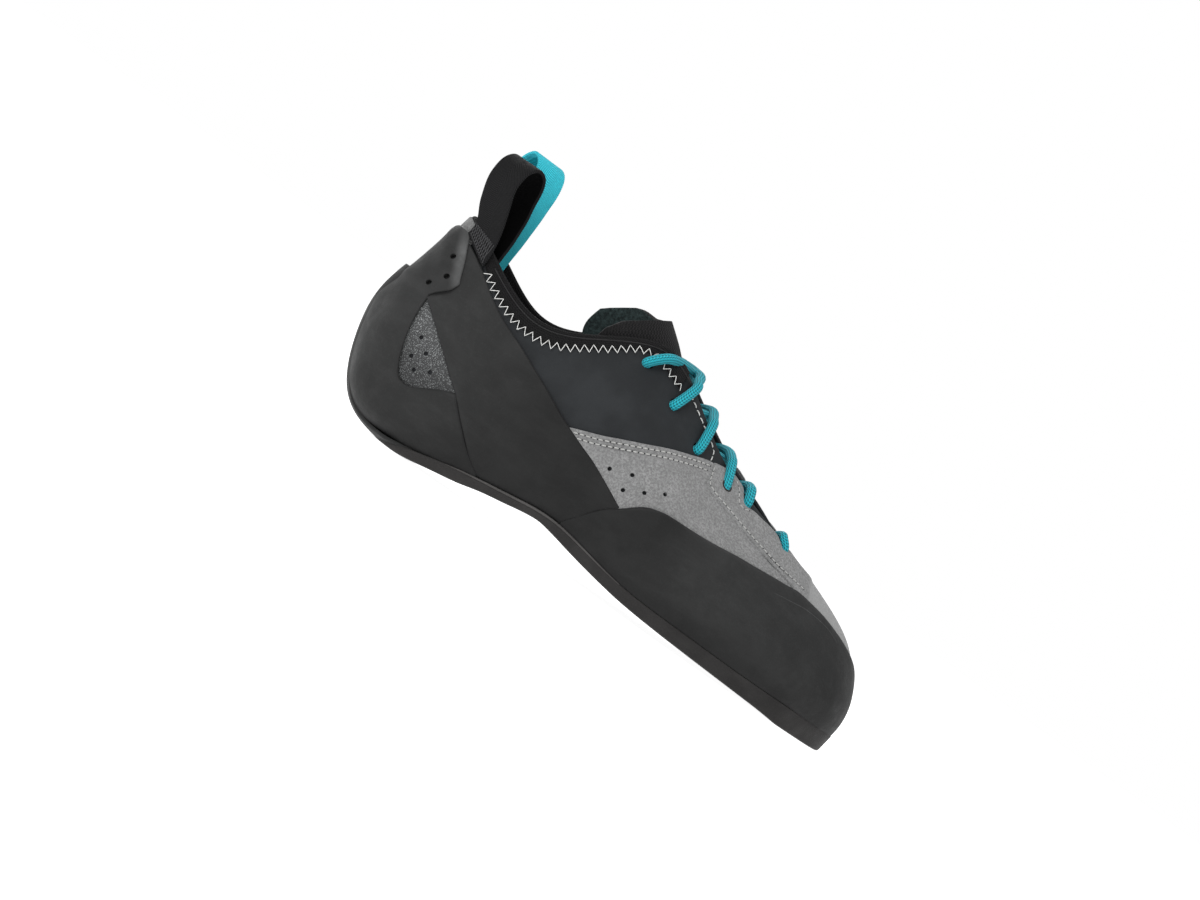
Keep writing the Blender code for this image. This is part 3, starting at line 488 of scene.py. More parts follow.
def overlay_points(rows, across, outer, rims, relief=None, lift=None):
    """Points of an overlay's face; each named rim has the drop and width of its rounding."""
    samples = np.linspace(0.0, 1.0, 9)
    widths = np.zeros(len(rows))
    for index, (low, high) in enumerate(rows):
        spots = low + (high - low) * samples[:, None]
        widths[index] = max(travelled(last(spots[:, 0], spots[:, 1]))[-1], 0.05)
    run = travelled(last(rows[:, :, 0].mean(1), rows[:, :, 1].mean(1)))
    column = {name: tuple(np.broadcast_to(np.asarray(part, float), (len(rows),))[:, None] for part in pair)
              for name, pair in rims.items()}
    spread = np.max([column[name][1][:, 0] for name in column], axis=0)
    distance = np.array([cross_lines(width, across, roll) for width, roll in zip(widths, spread)])
    share = distance / widths[:, None]
    spots = (rows[:, None, 0] + (rows[:, None, 1] - rows[:, None, 0]) * share[:, :, None]).reshape(-1, 2)
    reach = {"low": distance, "high": widths[:, None] - distance,
             "start": run[:, None] + 0.0 * distance, "end": run[-1] - run[:, None] + 0.0 * distance}
    fall = np.zeros(distance.shape)
    inside = np.ones(distance.shape)
    for name, (drop, roll) in column.items():
        fall = np.maximum(fall, drop * rolled(reach[name], roll))
        inside = np.minimum(inside, np.clip(reach[name] / (2.0 * roll), 0.0, 1.0))
    out = (outer - fall).ravel()
    places = last(spots[:, 0], spots[:, 1])
    if relief is not None:
        out = out + relief(places) * inside.ravel()
    if lift is not None:
        out = out + lift(places)
    return skin(spots[:, 0], spots[:, 1], out).reshape(*distance.shape, 3)


def surface_spots(table, far=False):
    """Points beside the surface from side view rows x, z, out."""
    spots = []
    for x, z, out in table:
        a, t = locate(x, z)
        spots.append(skin(RING - a if far else a, t, out)[0])
    return spots


def holes_at(table, out, far=False, both=False):
    """Places and outward directions of holes in the side view, on the near side, the far side or both."""
    spots = np.array([locate(x, z) for x, z in table])
    if both:
        spots = np.vstack((spots, mirrored(spots)))
    elif far:
        spots = mirrored(spots)
    return list(zip(skin(spots[:, 0], spots[:, 1], out), skin_normal(spots[:, 0], spots[:, 1])))


def toe_rows(low, high, lift):
    """Rows over the toe, from the rubber's edge down or from the suede's edge up."""
    rows = []
    for a, z in TOE_EDGE:
        edge = up_centre(a, z + lift)
        rows.append(((a, edge if low is None else low), (a, edge if high is None else high)))
    return np.array(rows)


def strip_lift(places):
    """The heel strip thins towards the arch and its top, and wraps the heel without standing off its sides."""
    x, y, z = places.T
    wrap = 0.055 * y ** 2 * swell(z, 7.0, 26.0) * swell(x, 30.0, 20.0) * (1.0 - 0.5 * swell(z, 48.0, 62.0))
    return -1.5 * swell(x, 35.0, 50.0) - 0.8 * swell(z, 40.0, 58.0) - wrap


def rand_lift(places):
    """The toe rand is fuller above the sole, most of all at the toe's front edge."""
    x, _, z = places.T
    return 0.5 * swell(z, 18.0, 32.0) + 1.7 * swell(z, 36.0, 19.0) * swell(x, 226.0, 244.0)


def stay_lift(places):
    """The eyestay's step down to the toe."""
    x, _, z = places.T
    return -0.55 * swell(x + 0.5 * z, 233.0, 234.2)


def ear_lift(places):
    """The ears of the heel cap stand out, a facet slopes to their front edge, and its back meets the strip."""
    x, y, z = places.T
    inset = 0.932 * (x - 20.1) + 0.363 * (z - 84.9)
    ear = 0.35 + 1.05 * swell(np.abs(y), 2.0, 12.0)
    width = 11.0 + 13.0 * swell(z, 38.0, 12.0)
    back = 2.0 * np.exp(-(y / width) ** 2) * swell(z, 1.5, 5.5) * swell(z, 58.0, 46.0) * swell(x, 42.0, 26.0)
    return back + ear * swell(z, 56.0, 61.0) - 0.7 * swell(inset, -5.0, -0.4) * swell(z, 62.0, 68.0)


def rims_of(drop, roll, *names):
    """The same rounding for several rims."""
    return {name: (drop, roll) for name in names}


def pick(*items):
    """Select only these objects, the first one active."""
    bpy.ops.object.select_all(action="DESELECT")
    for item in items:
        item.select_set(True)
    bpy.context.view_layer.objects.active = items[0]


def lay_grid(name, points):
    """A grid primitive shaped over an array of points, with its real lengths as UV."""
    rows, columns = points.shape[:2]
    bpy.ops.object.select_all(action="DESELECT")
    bpy.ops.mesh.primitive_grid_add(x_subdivisions=rows - 1, y_subdivisions=columns - 1, size=2.0)
    item = bpy.context.active_object
    item.name = name
    mesh = item.data
    mesh.name = name
    if len(mesh.vertices) != rows * columns:
        raise RuntimeError(f"{name}: the grid has {len(mesh.vertices)} points, not {rows * columns}")
    flat = np.zeros(rows * columns * 3)
    mesh.vertices.foreach_get("co", flat)
    place = flat.reshape(-1, 3)
    i = np.rint((place[:, 0] + 1.0) * 0.5 * (rows - 1)).astype(int)
    j = np.rint((place[:, 1] + 1.0) * 0.5 * (columns - 1)).astype(int)
    mesh.vertices.foreach_set("co", ((points[i, j] - ORIGIN) * MM).ravel())
    along = np.concatenate((np.zeros((1, columns)), np.linalg.norm(np.diff(points, axis=0), axis=2).cumsum(0)))
    across = np.concatenate((np.zeros((rows, 1)), np.linalg.norm(np.diff(points, axis=1), axis=2).cumsum(1)), 1)
    lengths = np.stack((along[i, j], across[i, j]), axis=1) * MM
    corners = np.zeros(len(mesh.loops), dtype=int)
    mesh.loops.foreach_get("vertex_index", corners)
    mesh.uv_layers[0].data.foreach_set("uv", lengths[corners].ravel())
    mesh.update()
    return item


def edit(item, *steps):
    """Run edit mode operators on everything in one mesh."""
    pick(item)
    bpy.ops.object.mode_set(mode="EDIT")
    bpy.ops.mesh.select_all(action="SELECT")
    for step, settings in steps:
        step(**settings)
    bpy.ops.object.mode_set(mode="OBJECT")


def weld(item):
    """Close seams and poles, and turn all faces outwards."""
    edit(item,
         (bpy.ops.mesh.remove_doubles, {"threshold": SEAM_GAP * MM}),
         (bpy.ops.mesh.delete_loose, {}),
         (bpy.ops.mesh.select_all, {"action": "SELECT"}),
         (bpy.ops.mesh.normals_make_consistent, {"inside": False}))


def modify(item, kind, **settings):
    """Add a modifier and apply it."""
    pick(item)
    modifier = item.modifiers.new(kind.lower(), kind)
    for name, value in settings.items():
        setattr(modifier, name, value)
    bpy.ops.object.modifier_apply(modifier=modifier.name)


def thicken(item, layer):
    """Give a layer's face its depth, inwards."""
    modify(item, "SOLIDIFY", thickness=DEPTH[layer] * MM, offset=-1.0, use_quality_normals=True)


def join(name, items):
    """Several meshes as one piece."""
    pick(*items)
    if len(items) > 1:
        bpy.ops.object.join()
    whole = bpy.context.active_object
    whole.name = name
    whole.data.name = name
    return whole


def bore(item, holes, radius):
    """Punch round holes, given as points with their outward direction."""
    cutters = []
    for centre, outward in holes:
        bpy.ops.object.select_all(action="DESELECT")
        bpy.ops.mesh.primitive_cylinder_add(vertices=20, radius=radius * MM, depth=2.0 * PUNCH_REACH * MM)
        cutter = bpy.context.active_object
        turn = Vector(outward).to_track_quat("Z", "Y").to_matrix().to_4x4()
        cutter.data.transform(Matrix.Translation(Vector((centre - ORIGIN) * MM)) @ turn)
        cutters.append(cutter)
    cutter = join("hole_cutter", cutters)
    modify(item, "BOOLEAN", operation="DIFFERENCE", solver="EXACT", object=cutter)
    bpy.data.objects.remove(cutter, do_unlink=True)


def dress(item, finish, nodes=(), angle=42.0):
    """Smooth a finished piece, paint it and tie it to the frame."""
    pick(item)
    bpy.ops.object.shade_smooth_by_angle(angle=math.radians(angle))
    if finish is not None:
        item.data.materials.append(finish)
    if nodes:
        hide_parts(*nodes)
    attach(item, "root")
    return item


def line_inside(item, outer, inner, start):
    """Paint a piece, with another finish from a share of its girth on."""
    for finish in (outer, inner):
        item.data.materials.append(finish)
    girth = np.zeros(2 * len(item.data.loops))
    item.data.uv_layers[0].data.foreach_get("uv", girth)
    girth = girth[1::2]
    first = np.array([girth[list(face.loop_indices)].min() for face in item.data.polygons])
    item.data.polygons.foreach_set("material_index", (first > start * girth.max()).astype(int))


def tube_points(path, radius, sides):
    """Points of a round cord along a path, closed to a point at both ends."""
    radius = np.broadcast_to(np.asarray(radius, float), (len(path),))
    normal = np.array((0.31, 0.52, 0.8))
    rings = []
    for index, spot in enumerate(path):
        ahead = path[min(index + 1, len(path) - 1)] - path[max(index - 1, 0)]
        ahead = ahead / np.linalg.norm(ahead)
        normal = normal - ahead * np.dot(normal, ahead)
        normal = normal / np.linalg.norm(normal)
        side = np.cross(ahead, normal)
        turn = 2.0 * math.pi * np.arange(sides + 1) / sides
        ring = normal * np.cos(turn)[:, None] + side * np.sin(turn)[:, None]
        rings.append(spot + radius[index] * ring)
    caps = [np.repeat(spot[None], sides + 1, 0) for spot in (path[0], path[-1])]
    return np.stack((caps[0], *rings, caps[1]))


def cord_mesh(name, path, radius, sides):
    """A closed round cord."""
    item = lay_grid(name, tube_points(path, radius, sides))
    weld(item)
    return item


def threads(name, paths, radius, sides=6):
    """Many short threads as one mesh."""
    item = lay_grid(name, np.concatenate([tube_points(path, radius, sides) for path in paths]))
    weld(item)
    return item


def stitch_line(name, spots, out, length, gap, radius):
    """A row of stitches that dip into the surface at both ends, and the needle holes between them."""
    points = skin(spots[:, 0], spots[:, 1], out)
    normal = skin_normal(spots[:, 0], spots[:, 1])
    run = travelled(points)
    count = max(1, int(run[-1] / (length + gap)))
    rise = np.array((-0.5, 0.35, 0.75, 0.75, 0.35, -0.5)) * radius
    stitches, holes = [], []
    for index in range(count):
        start = index * run[-1] / count
        distances = start + length * np.array((0.0, 0.1, 0.3, 0.7, 0.9, 1.0))
        stitches.append(spaced(points, run, distances) + spaced(normal, run, distances) * rise[:, None])
        middle = np.array((start + 0.5 * (length + run[-1] / count),))
        hole, up = spaced(points, run, middle)[0], spaced(normal, run, middle)[0]
        holes.append(np.array([hole + up * height for height in (-0.3, 0.0, 0.07)]))
    return (threads(name, stitches, radius * np.array((0.6, 0.9, 1.0, 1.0, 0.9, 0.6))),
            threads(name + "_holes", holes, min(0.5 * gap, 1.15 * radius), 8))


def zigzag_line(name, spots, out, pitch, swing, radius):
    """A thread that runs from side to side of a seam."""
    points = skin(spots[:, 0], spots[:, 1], out)
    normal = skin_normal(spots[:, 0], spots[:, 1])
    run = travelled(points)
    ahead = np.gradient(points, axis=0)
    side = np.cross(normal, unit(ahead))
    count = int(run[-1] / (0.5 * pitch))
    shares = np.array((0.0, 0.12, 0.5, 0.88))
    path = []
    for index in range(count):
        way = 1.0 if index % 2 == 0 else -1.0
        for share, height in zip(shares, (-0.4, 0.5, 0.9, 0.5)):
            distance = np.array(((index + share) * 0.5 * pitch,))
            spot, up, aside = (spaced(value, run, distance)[0] for value in (points, normal, side))
            path.append(spot + aside * way * swing * (share - 0.5) + up * height * radius)
    return cord_mesh(name, np.array(path), radius, 6)


def length(label, words, millimetres):
    """A length property with its default in millimetres."""
    return FloatProperty(name=label, description=words, default=millimetres * MM, unit="LENGTH", precision=5)


def colour(label, words, red, green, blue):
    """A colour property in linear light."""
    return FloatVectorProperty(name=label, description=words, default=(red, green, blue), subtype="COLOR", size=3,
                               min=0.0, max=1.0)


class ShoeSizes(PropertyGroup):
    """Sizes a maker would change."""
    wall: length("Wall", "Thickness of the upper at its collar", 1.6)
    rand_face: length("Rand face", "Height of the toe rand's face over the last", 2.4)
    band_face: length("Band face", "Height of the tension band's face over the last", 1.9)
    suede_face: length("Suede face", "Height of the vamp's face over the last", 1.3)
    stay_face: length("Eyestay face", "Height of the eyestay's face over the last", 2.0)
    knit_face: length("Knit face", "Height of the knit collar's face over the last", 0.8)
    lace_radius: length("Lace radius", "Half the lace's thickness", 2.1)
    webbing_width: length("Webbing width", "Width of the pull loops", 15.5)
    webbing: length("Webbing", "Thickness of the pull loops", 1.4)
    tongue: length("Tongue", "Thickness of the padded tongue", 2.6)
    vent_radius: length("Vent radius", "Half the width of a vent hole", 0.9)
    eyelet_radius: length("Eyelet radius", "Half the width of a lace hole", 2.5)
    thread_radius: length("Thread radius", "Half the thickness of the seam thread", 0.24)


class ShoeColours(PropertyGroup):
    """Colours a maker would change."""
    rubber: colour("Rubber", "Rand, heel cap and band", 0.0175, 0.0178, 0.0178)
    sole: colour("Sole", "Outsole rubber", 0.0198, 0.0188, 0.0184)
    quarter: colour("Quarter", "Smooth microfibre of the quarter", 0.0125, 0.0142, 0.016)
    knit: colour("Knit", "Collar and tongue", 0.0062, 0.006, 0.0062)
    suede: colour("Suede", "Vamp, eyestay and heel tab", 0.262, 0.263, 0.263)
    leather: colour("Leather", "Pebbled leather in the heel window", 0.086, 0.089, 0.09)
    teal: colour("Teal", "Lace and medial pull loop", 0.007, 0.335, 0.41)
    webbing: colour("Black webbing", "Lateral pull loop", 0.0115, 0.0115, 0.012)
    thread: colour("Thread", "White seam thread", 0.72, 0.72, 0.7)
    lining: colour("Lining", "Fleecy inside of tongue and upper", 0.006, 0.009, 0.009)


class Value:
    """A socket of a finish; sums and products of values add their Math nodes."""

    def __init__(self, finish, socket):
        self.finish = finish
        self.socket = socket

    def math(self, operation, other=0.0, swap=False):
        pair = (other, self) if swap else (self, other)
        return self.finish.node("ShaderNodeMath", {"operation": operation}, {0: pair[0], 1: pair[1]})

    def __add__(self, other):
        return self.math("ADD", other)

    def __sub__(self, other):
        return self.math("SUBTRACT", other)

    def __rsub__(self, other):
        return self.math("SUBTRACT", other, swap=True)

    def __mul__(self, other):
        return self.math("MULTIPLY", other)

    def __truediv__(self, other):
        return self.math("DIVIDE", other)

    __radd__ = __add__
    __rmul__ = __mul__

    def sine(self):
        return self.math("SINE")

    def ramp(self, start, end, low=0.0, high=1.0):
        """This value run smoothly from low to high between two marks."""
        return self.finish.node("ShaderNodeMapRange", {"interpolation_type": "SMOOTHSTEP"},
                                {"Value": self, "From Min": start, "From Max": end, "To Min": low, "To Max": high})


class Finish:
    """A procedural surface built from nodes."""

    def __init__(self, name, roughness, specular=0.5, sheen=0.0):
        self.material = bpy.data.materials.new(name)
        self.material.use_nodes = True
        self.tree = self.material.node_tree
        self.shader = self.tree.nodes["Principled BSDF"]
        self.shader.inputs["Roughness"].default_value = roughness
        self.shader.inputs["Specular IOR Level"].default_value = specular
        self.shader.inputs["Sheen Weight"].default_value = sheen
        self.shader.inputs["Sheen Roughness"].default_value = 0.6

    def node(self, kind, settings=None, sockets=None, output=0):
        """One node: its settings first, then the values or links of its sockets."""
        made = self.tree.nodes.new(kind)
        for name, value in (settings or {}).items():
            setattr(made, name, value)
        for name, value in (sockets or {}).items():
            if isinstance(value, Value):
                self.tree.links.new(value.socket, made.inputs[name])
            else:
                made.inputs[name].default_value = value
        return Value(self, made.outputs[output])

    def place(self):
        """Place on the shoe, in metres."""
        return self.node("ShaderNodeTexCoord", output="Object")

    def axis(self, name):
        """One coordinate of the place."""
        return self.node("ShaderNodeSeparateXYZ", sockets={0: self.place()}, output=name)

    def lengths(self):
        """Lengths along and across the piece, in metres."""
        uv = self.node("ShaderNodeTexCoord", output="UV")
        return (self.node("ShaderNodeSeparateXYZ", sockets={0: uv}, output="X"),
                self.node("ShaderNodeSeparateXYZ", sockets={0: uv}, output="Y"))

    def stretched(self, vector, x, y, z):
        """Coordinates with their own scale along each axis."""
        return self.node("ShaderNodeMapping", sockets={"Vector": vector, "Scale": (x, y, z)})

    def noise(self, size, detail=3.0, roughness=0.55, vector=None, distortion=0.0):
        """Noise with features of about a size in millimetres."""
        return self.node("ShaderNodeTexNoise", sockets={
            "Vector": vector or self.place(), "Scale": 1.0 / (size * MM), "Detail": detail,
            "Roughness": roughness, "Distortion": distortion})

    def cells(self, size, feature):
        """Rounded cells of a size in millimetres."""
        return self.node("ShaderNodeTexVoronoi", {"feature": feature}, {
            "Vector": self.place(), "Scale": 1.0 / (size * MM)})

    def blend(self, factor, one, two):
        """A colour between two colours."""
        ends = [value if isinstance(value, Value) else (*value, 1.0) for value in (one, two)]
        return self.node("ShaderNodeMix", {"data_type": "RGBA"}, {0: factor, 6: ends[0], 7: ends[1]}, output=2)

    def bump(self, height, depth, under=None):
        """Relief of a depth in millimetres."""
        sockets = {"Height": height, "Distance": depth * MM, "Strength": 1.0}
        if under is not None:
            sockets["Normal"] = under
        return self.node("ShaderNodeBump", sockets=sockets)

    def finish(self, **links):
        """Link base colour, roughness and normal to the shader."""
        names = {"colour": "Base Color", "roughness": "Roughness", "normal": "Normal"}
        for name, value in links.items():
            self.tree.links.new(value.socket, self.shader.inputs[names[name]])
        return self.material


def shade(tone, factor):
    """A colour made lighter or darker."""
    return tuple(float(min(1.0, max(0.0, part * factor))) for part in tone)


def rubber_finish(name, tone, grain=0.05, light_and_shade_shares=(1.25, 0.6, 1.3), ear=False, painted_low_shade=False):
    """Smooth moulded rubber with cloudy handling marks, and painted light and shade by shares at heel, waist and toe.

    An ear has a painted highlight on the facet along its front edge, and painted shade darkens the rubber towards the
    sole and at the toe's end.
    """
    skin_of = Finish(name, 0.5, specular=0.16)
    cloud = skin_of.noise(26.0, 4.0, 0.6, distortion=0.6)
    smear = skin_of.noise(7.0, 5.0, 0.65, vector=skin_of.stretched(skin_of.place(), 0.45, 1.0, 1.3))
    speck = skin_of.noise(0.7, 2.0)
    marks = cloud.ramp(0.36, 0.68) * 0.6 + smear.ramp(0.42, 0.72) * 0.4
    tint = skin_of.blend(marks, shade(tone, 1.35), shade(tone, 2.0))
    tint = skin_of.blend(speck.ramp(0.55, 0.75, 0.0, 0.35), tint, shade(tone, 2.4))
    ahead, height = skin_of.axis("X"), skin_of.axis("Z")
    if ear:
        # Painted highlight on the facet along the ear's front edge.
        inset = ahead * 905.0 + height * 425.0 + 58.87
        facet = inset.ramp(-6.4, -2.4) * inset.ramp(-0.8, -0.2, 1.0, 0.0) * height.ramp(0.062, 0.07)
        facet = facet * height.ramp(0.079, 0.087, 1.0, 0.45)
        tint = skin_of.blend(facet * marks.ramp(0.1, 0.8, 0.6, 1.0), tint, shade(tone, 7.0))
    # Painted light and shade along the shoe: the given shares lighten or darken heel, waist and toe.
    heel, waist, toe = light_and_shade_shares
    light_and_shade = ahead.ramp(0.01, 0.05, waist, toe) + ahead.ramp(-0.085, -0.035, heel - waist, 0.0)
    # Painted shade: darker towards the sole, and at the toe's end.
    if painted_low_shade:
        low = height.ramp(0.009, 0.034, 0.55, 0.0) * (ahead.ramp(0.0, 0.05) + ahead.ramp(-0.06, -0.03, 0.6, 0.0))
        light_and_shade = light_and_shade * low.ramp(0.0, 1.0, 1.0, 0.0) * ahead.ramp(0.1, 0.116, 1.0, 0.8)
    tint = skin_of.blend(light_and_shade / 1.6, (0.0, 0.0, 0.0), tint)
    relief = skin_of.bump(skin_of.noise(0.45, 3.0), grain)
    relief = skin_of.bump(smear, 0.22, under=relief)
    return skin_of.finish(colour=tint, roughness=marks.ramp(0.0, 1.0, 0.62, 0.48), normal=relief)


def suede_finish(name, tone):
    """Brushed suede: a short nap that lies lighter and darker."""
    nap = Finish(name, 0.95, specular=0.1, sheen=0.1)
    brushed = nap.noise(9.0, 4.0, 0.62, distortion=0.8)
    mottle = nap.noise(2.4, 5.0, 0.7)
    tufts = nap.noise(0.85, 4.0, 0.7)
    fibre = nap.noise(0.28, 2.0)
    lie = brushed.ramp(0.34, 0.68) * 0.5 + mottle.ramp(0.34, 0.68) * 0.5
    tint = nap.blend(lie, shade(tone, 0.82), shade(tone, 1.18))
    tint = nap.blend(tufts.ramp(0.36, 0.64, 0.0, 0.85), shade(tone, 0.56), tint)
    ahead, height = nap.axis("X"), nap.axis("Z")
    tint = nap.blend((ahead * 1000.0 + height * 500.0).ramp(109.0, 110.4, 0.0, 0.55), tint, shade(tone, 1.22))
    relief = nap.bump(tufts * 0.7 + fibre * 0.3, 0.34)
    return nap.finish(colour=tint, normal=relief)


def quarter_finish(name, tone):
    """Thin smooth microfibre."""
    cloth = Finish(name, 0.66, specular=0.2, sheen=0.02)
    cloud = cloth.noise(18.0, 3.0)
    grain = cloth.noise(0.35, 3.0, 0.6)
    tint = cloth.blend(cloud.ramp(0.35, 0.68), shade(tone, 0.86), shade(tone, 1.18))
    tint = cloth.blend(grain.ramp(0.5, 0.75, 0.0, 0.3), tint, shade(tone, 1.7))
    relief = cloth.bump(grain, 0.07)
    return cloth.finish(colour=tint, roughness=cloud.ramp(0.3, 0.7, 0.7, 0.6), normal=relief)


def knit_finish(name, tone, loop=1.15):
    """Fine stretch knit, its loops following the piece."""
    cloth = Finish(name, 0.9, specular=0.1, sheen=0.03)
    along, across = cloth.lengths()
    turns = 2.0 * math.pi / (loop * MM)
    column = (along * turns).sine()
    row = (across * turns * 1.2 + column * 0.9).sine()
    loops = (column * row) * 0.5 + 0.5
    fuzz = cloth.noise(0.5, 3.0, 0.7)
    tint = cloth.blend(loops.ramp(0.2, 0.95), shade(tone, 0.6), shade(tone, 1.9))
    tint = cloth.blend(fuzz.ramp(0.5, 0.75, 0.0, 0.5), tint, shade(tone, 3.4))
    relief = cloth.bump(loops + fuzz * 0.6, 0.28)
    return cloth.finish(colour=tint, normal=relief)


def fleece_finish(name, tone):
    """Fuzzy lining."""
    cloth = Finish(name, 0.95, specular=0.08, sheen=0.06)
    tufts = cloth.noise(1.1, 5.0, 0.75)
    patch = cloth.noise(8.0, 3.0)
    tint = cloth.blend(tufts.ramp(0.35, 0.7), shade(tone, 0.45), shade(tone, 2.1))
    tint = cloth.blend(patch.ramp(0.4, 0.7, 0.0, 0.5), tint, shade(tone, 1.4))
    return cloth.finish(colour=tint, normal=cloth.bump(tufts, 0.6))


def leather_finish(name, tone):
    """Pebbled leather with rubbed light tips, and painted shade towards its bottom."""
    hide = Finish(name, 0.6, specular=0.26)
    wander = hide.noise(2.4, 3.0)
    pebble = hide.cells(0.48, "SMOOTH_F1")
    crumb = hide.noise(0.42, 4.0, 0.75)
    height = (1.0 - pebble.ramp(0.05, 0.62)) * 0.6 + crumb * 0.55
    tips = height.ramp(0.36, 0.98) * wander.ramp(0.28, 0.7, 0.45, 1.0)
    tint = hide.blend(tips, shade(tone, 0.66), shade(tone, 4.2))
    # Painted shade: darker towards the bottom of the window.
    tint = hide.blend(hide.axis("Z").ramp(0.028, 0.05, 0.5, 1.0), (0.0, 0.0, 0.0), tint)
    return hide.finish(colour=tint, roughness=tips.ramp(0.0, 1.0, 0.72, 0.5), normal=hide.bump(height, 0.32))


def braid_finish(name, tone, around):
    """Round braid: two sets of strands crossing round the cord."""
    strands, lay = 6.0, 2.7
    cord = Finish(name, 0.7, specular=0.2, sheen=0.04)
    along, across = cord.lengths()
    turn = across * (2.0 * math.pi * strands / (around * MM))
    travel = along * (2.0 * math.pi / (lay * MM))
    weave = ((turn + travel).sine() * (turn - travel).sine()) * 0.5 + 0.5
    fibre = cord.noise(0.3, 3.0, 0.7)
    # Painted shade in the gaps between the strands and a painted highlight on their crowns.
    tint = cord.blend(weave.ramp(0.15, 0.7), shade(tone, 0.3), shade(tone, 1.12))
    tint = cord.blend(fibre.ramp(0.45, 0.7, 0.1, 0.75) * weave.ramp(0.5, 0.95), tint,
                      (tone[0] + 0.08, min(1.0, tone[1] * 1.6), min(1.0, tone[2] * 1.5)))
    return cord.finish(colour=tint, normal=cord.bump(weave * 0.8 + fibre * 0.3, 0.42))


def webbing_finish(name, tone, slant, specular=0.1):
    """Flat webbing: fine ribs across, slanted in a twill."""
    rib = 0.95
    tape = Finish(name, 0.66, specular=specular)
    along, across = tape.lengths()
    turns = 2.0 * math.pi / (rib * MM)
    ribs = (along * turns + across * turns * slant).sine() * 0.5 + 0.5
    yarn = (across * turns * 1.6).sine() * 0.5 + 0.5
    fibre = tape.noise(0.3, 3.0)
    weave = ribs * 0.7 + yarn * 0.3
    tint = tape.blend(weave.ramp(0.15, 0.9), shade(tone, 0.5), shade(tone, 1.4))
    tint = tape.blend(fibre.ramp(0.5, 0.75, 0.0, 0.4), tint, shade(tone, 1.75))
    return tape.finish(colour=tint, normal=tape.bump(weave + fibre * 0.3, 0.16))


def thread_finish(name, tone):
    """Twisted sewing thread."""
    thread = Finish(name, 0.65, specular=0.2, sheen=0.03)
    twist = thread.noise(0.3, 2.0)
    tint = thread.blend(twist.ramp(0.3, 0.7), shade(tone, 0.72), shade(tone, 1.08))
    return thread.finish(colour=tint, normal=thread.bump(twist, 0.06))


def sizes():
    """Sizes in millimetres, by name."""
    group = bpy.context.scene.shoe_sizes
    return {name: getattr(group, name) / MM for name in ShoeSizes.__annotations__}


def tone(name):
    """One of the shoe's colours."""
    return tuple(getattr(bpy.context.scene.shoe_colours, name))


def edge_band(a):
    """Plan outline, top height and tread height of the sole at ring positions."""
    near_heel = np.minimum(np.abs(a), np.abs(RING - a))
    reach = 0.035 * np.clip((3.2 - near_heel) / 1.2, 0.0, 1.0)
    rim = skin(a, reach, 2.5 + 1.8 * swell(near_heel, 8.8, 9.8))
    under = np.minimum(skin(a, 0.0, 2.4)[:, 2], last(a, 0.0)[:, 2])
    top = under - 0.05 - 0.3 * np.clip(3.0 - near_heel, 0.0, 1.0)
    rows = np.array(UNDERSIDE)
    dense = smooth_path(rows, 6)
    tread = np.interp(rim[:, 0], dense[:, 0], dense[:, 1])
    return rim, top, tread


def sole_section(lat, med, toe):
    """Closed section of the sole from its lateral to its medial rim and back."""
    centre = 0.5 * (lat[0][:2] + med[0][:2])
    if toe > 0.0:
        centre = centre * (1.0 - toe) + np.array((lat[0][0] - 20.0, centre[1])) * toe
    sides = []
    for rim, top, tread in (lat, med):
        inward = centre - rim[:2]
        inward = inward / max(np.linalg.norm(inward), 1e-6)
        lower = rim[:2] + inward * 1.0 * toe
        sides.append([np.append(spot, height) for spot, height in (
            (rim[:2] + inward * 0.6, top), (rim[:2] + inward * 0.17, top - 0.17), (rim[:2], top - 0.6),
            (0.5 * (rim[:2] + lower), 0.5 * (top - 0.6 + tread + 1.2)), (lower, tread + 1.2),
            (lower + inward * 0.3, tread + 0.4), (lower + inward * 1.2, tread))])
    shares = np.linspace(0.0, 1.0, 8)[1:-1, None]
    under = sides[0][-1] + (sides[1][-1] - sides[0][-1]) * shares
    above = sides[1][0] + (sides[0][0] - sides[1][0]) * shares
    return np.array([*sides[0], *under, *sides[1][::-1], *above, sides[0][0]])


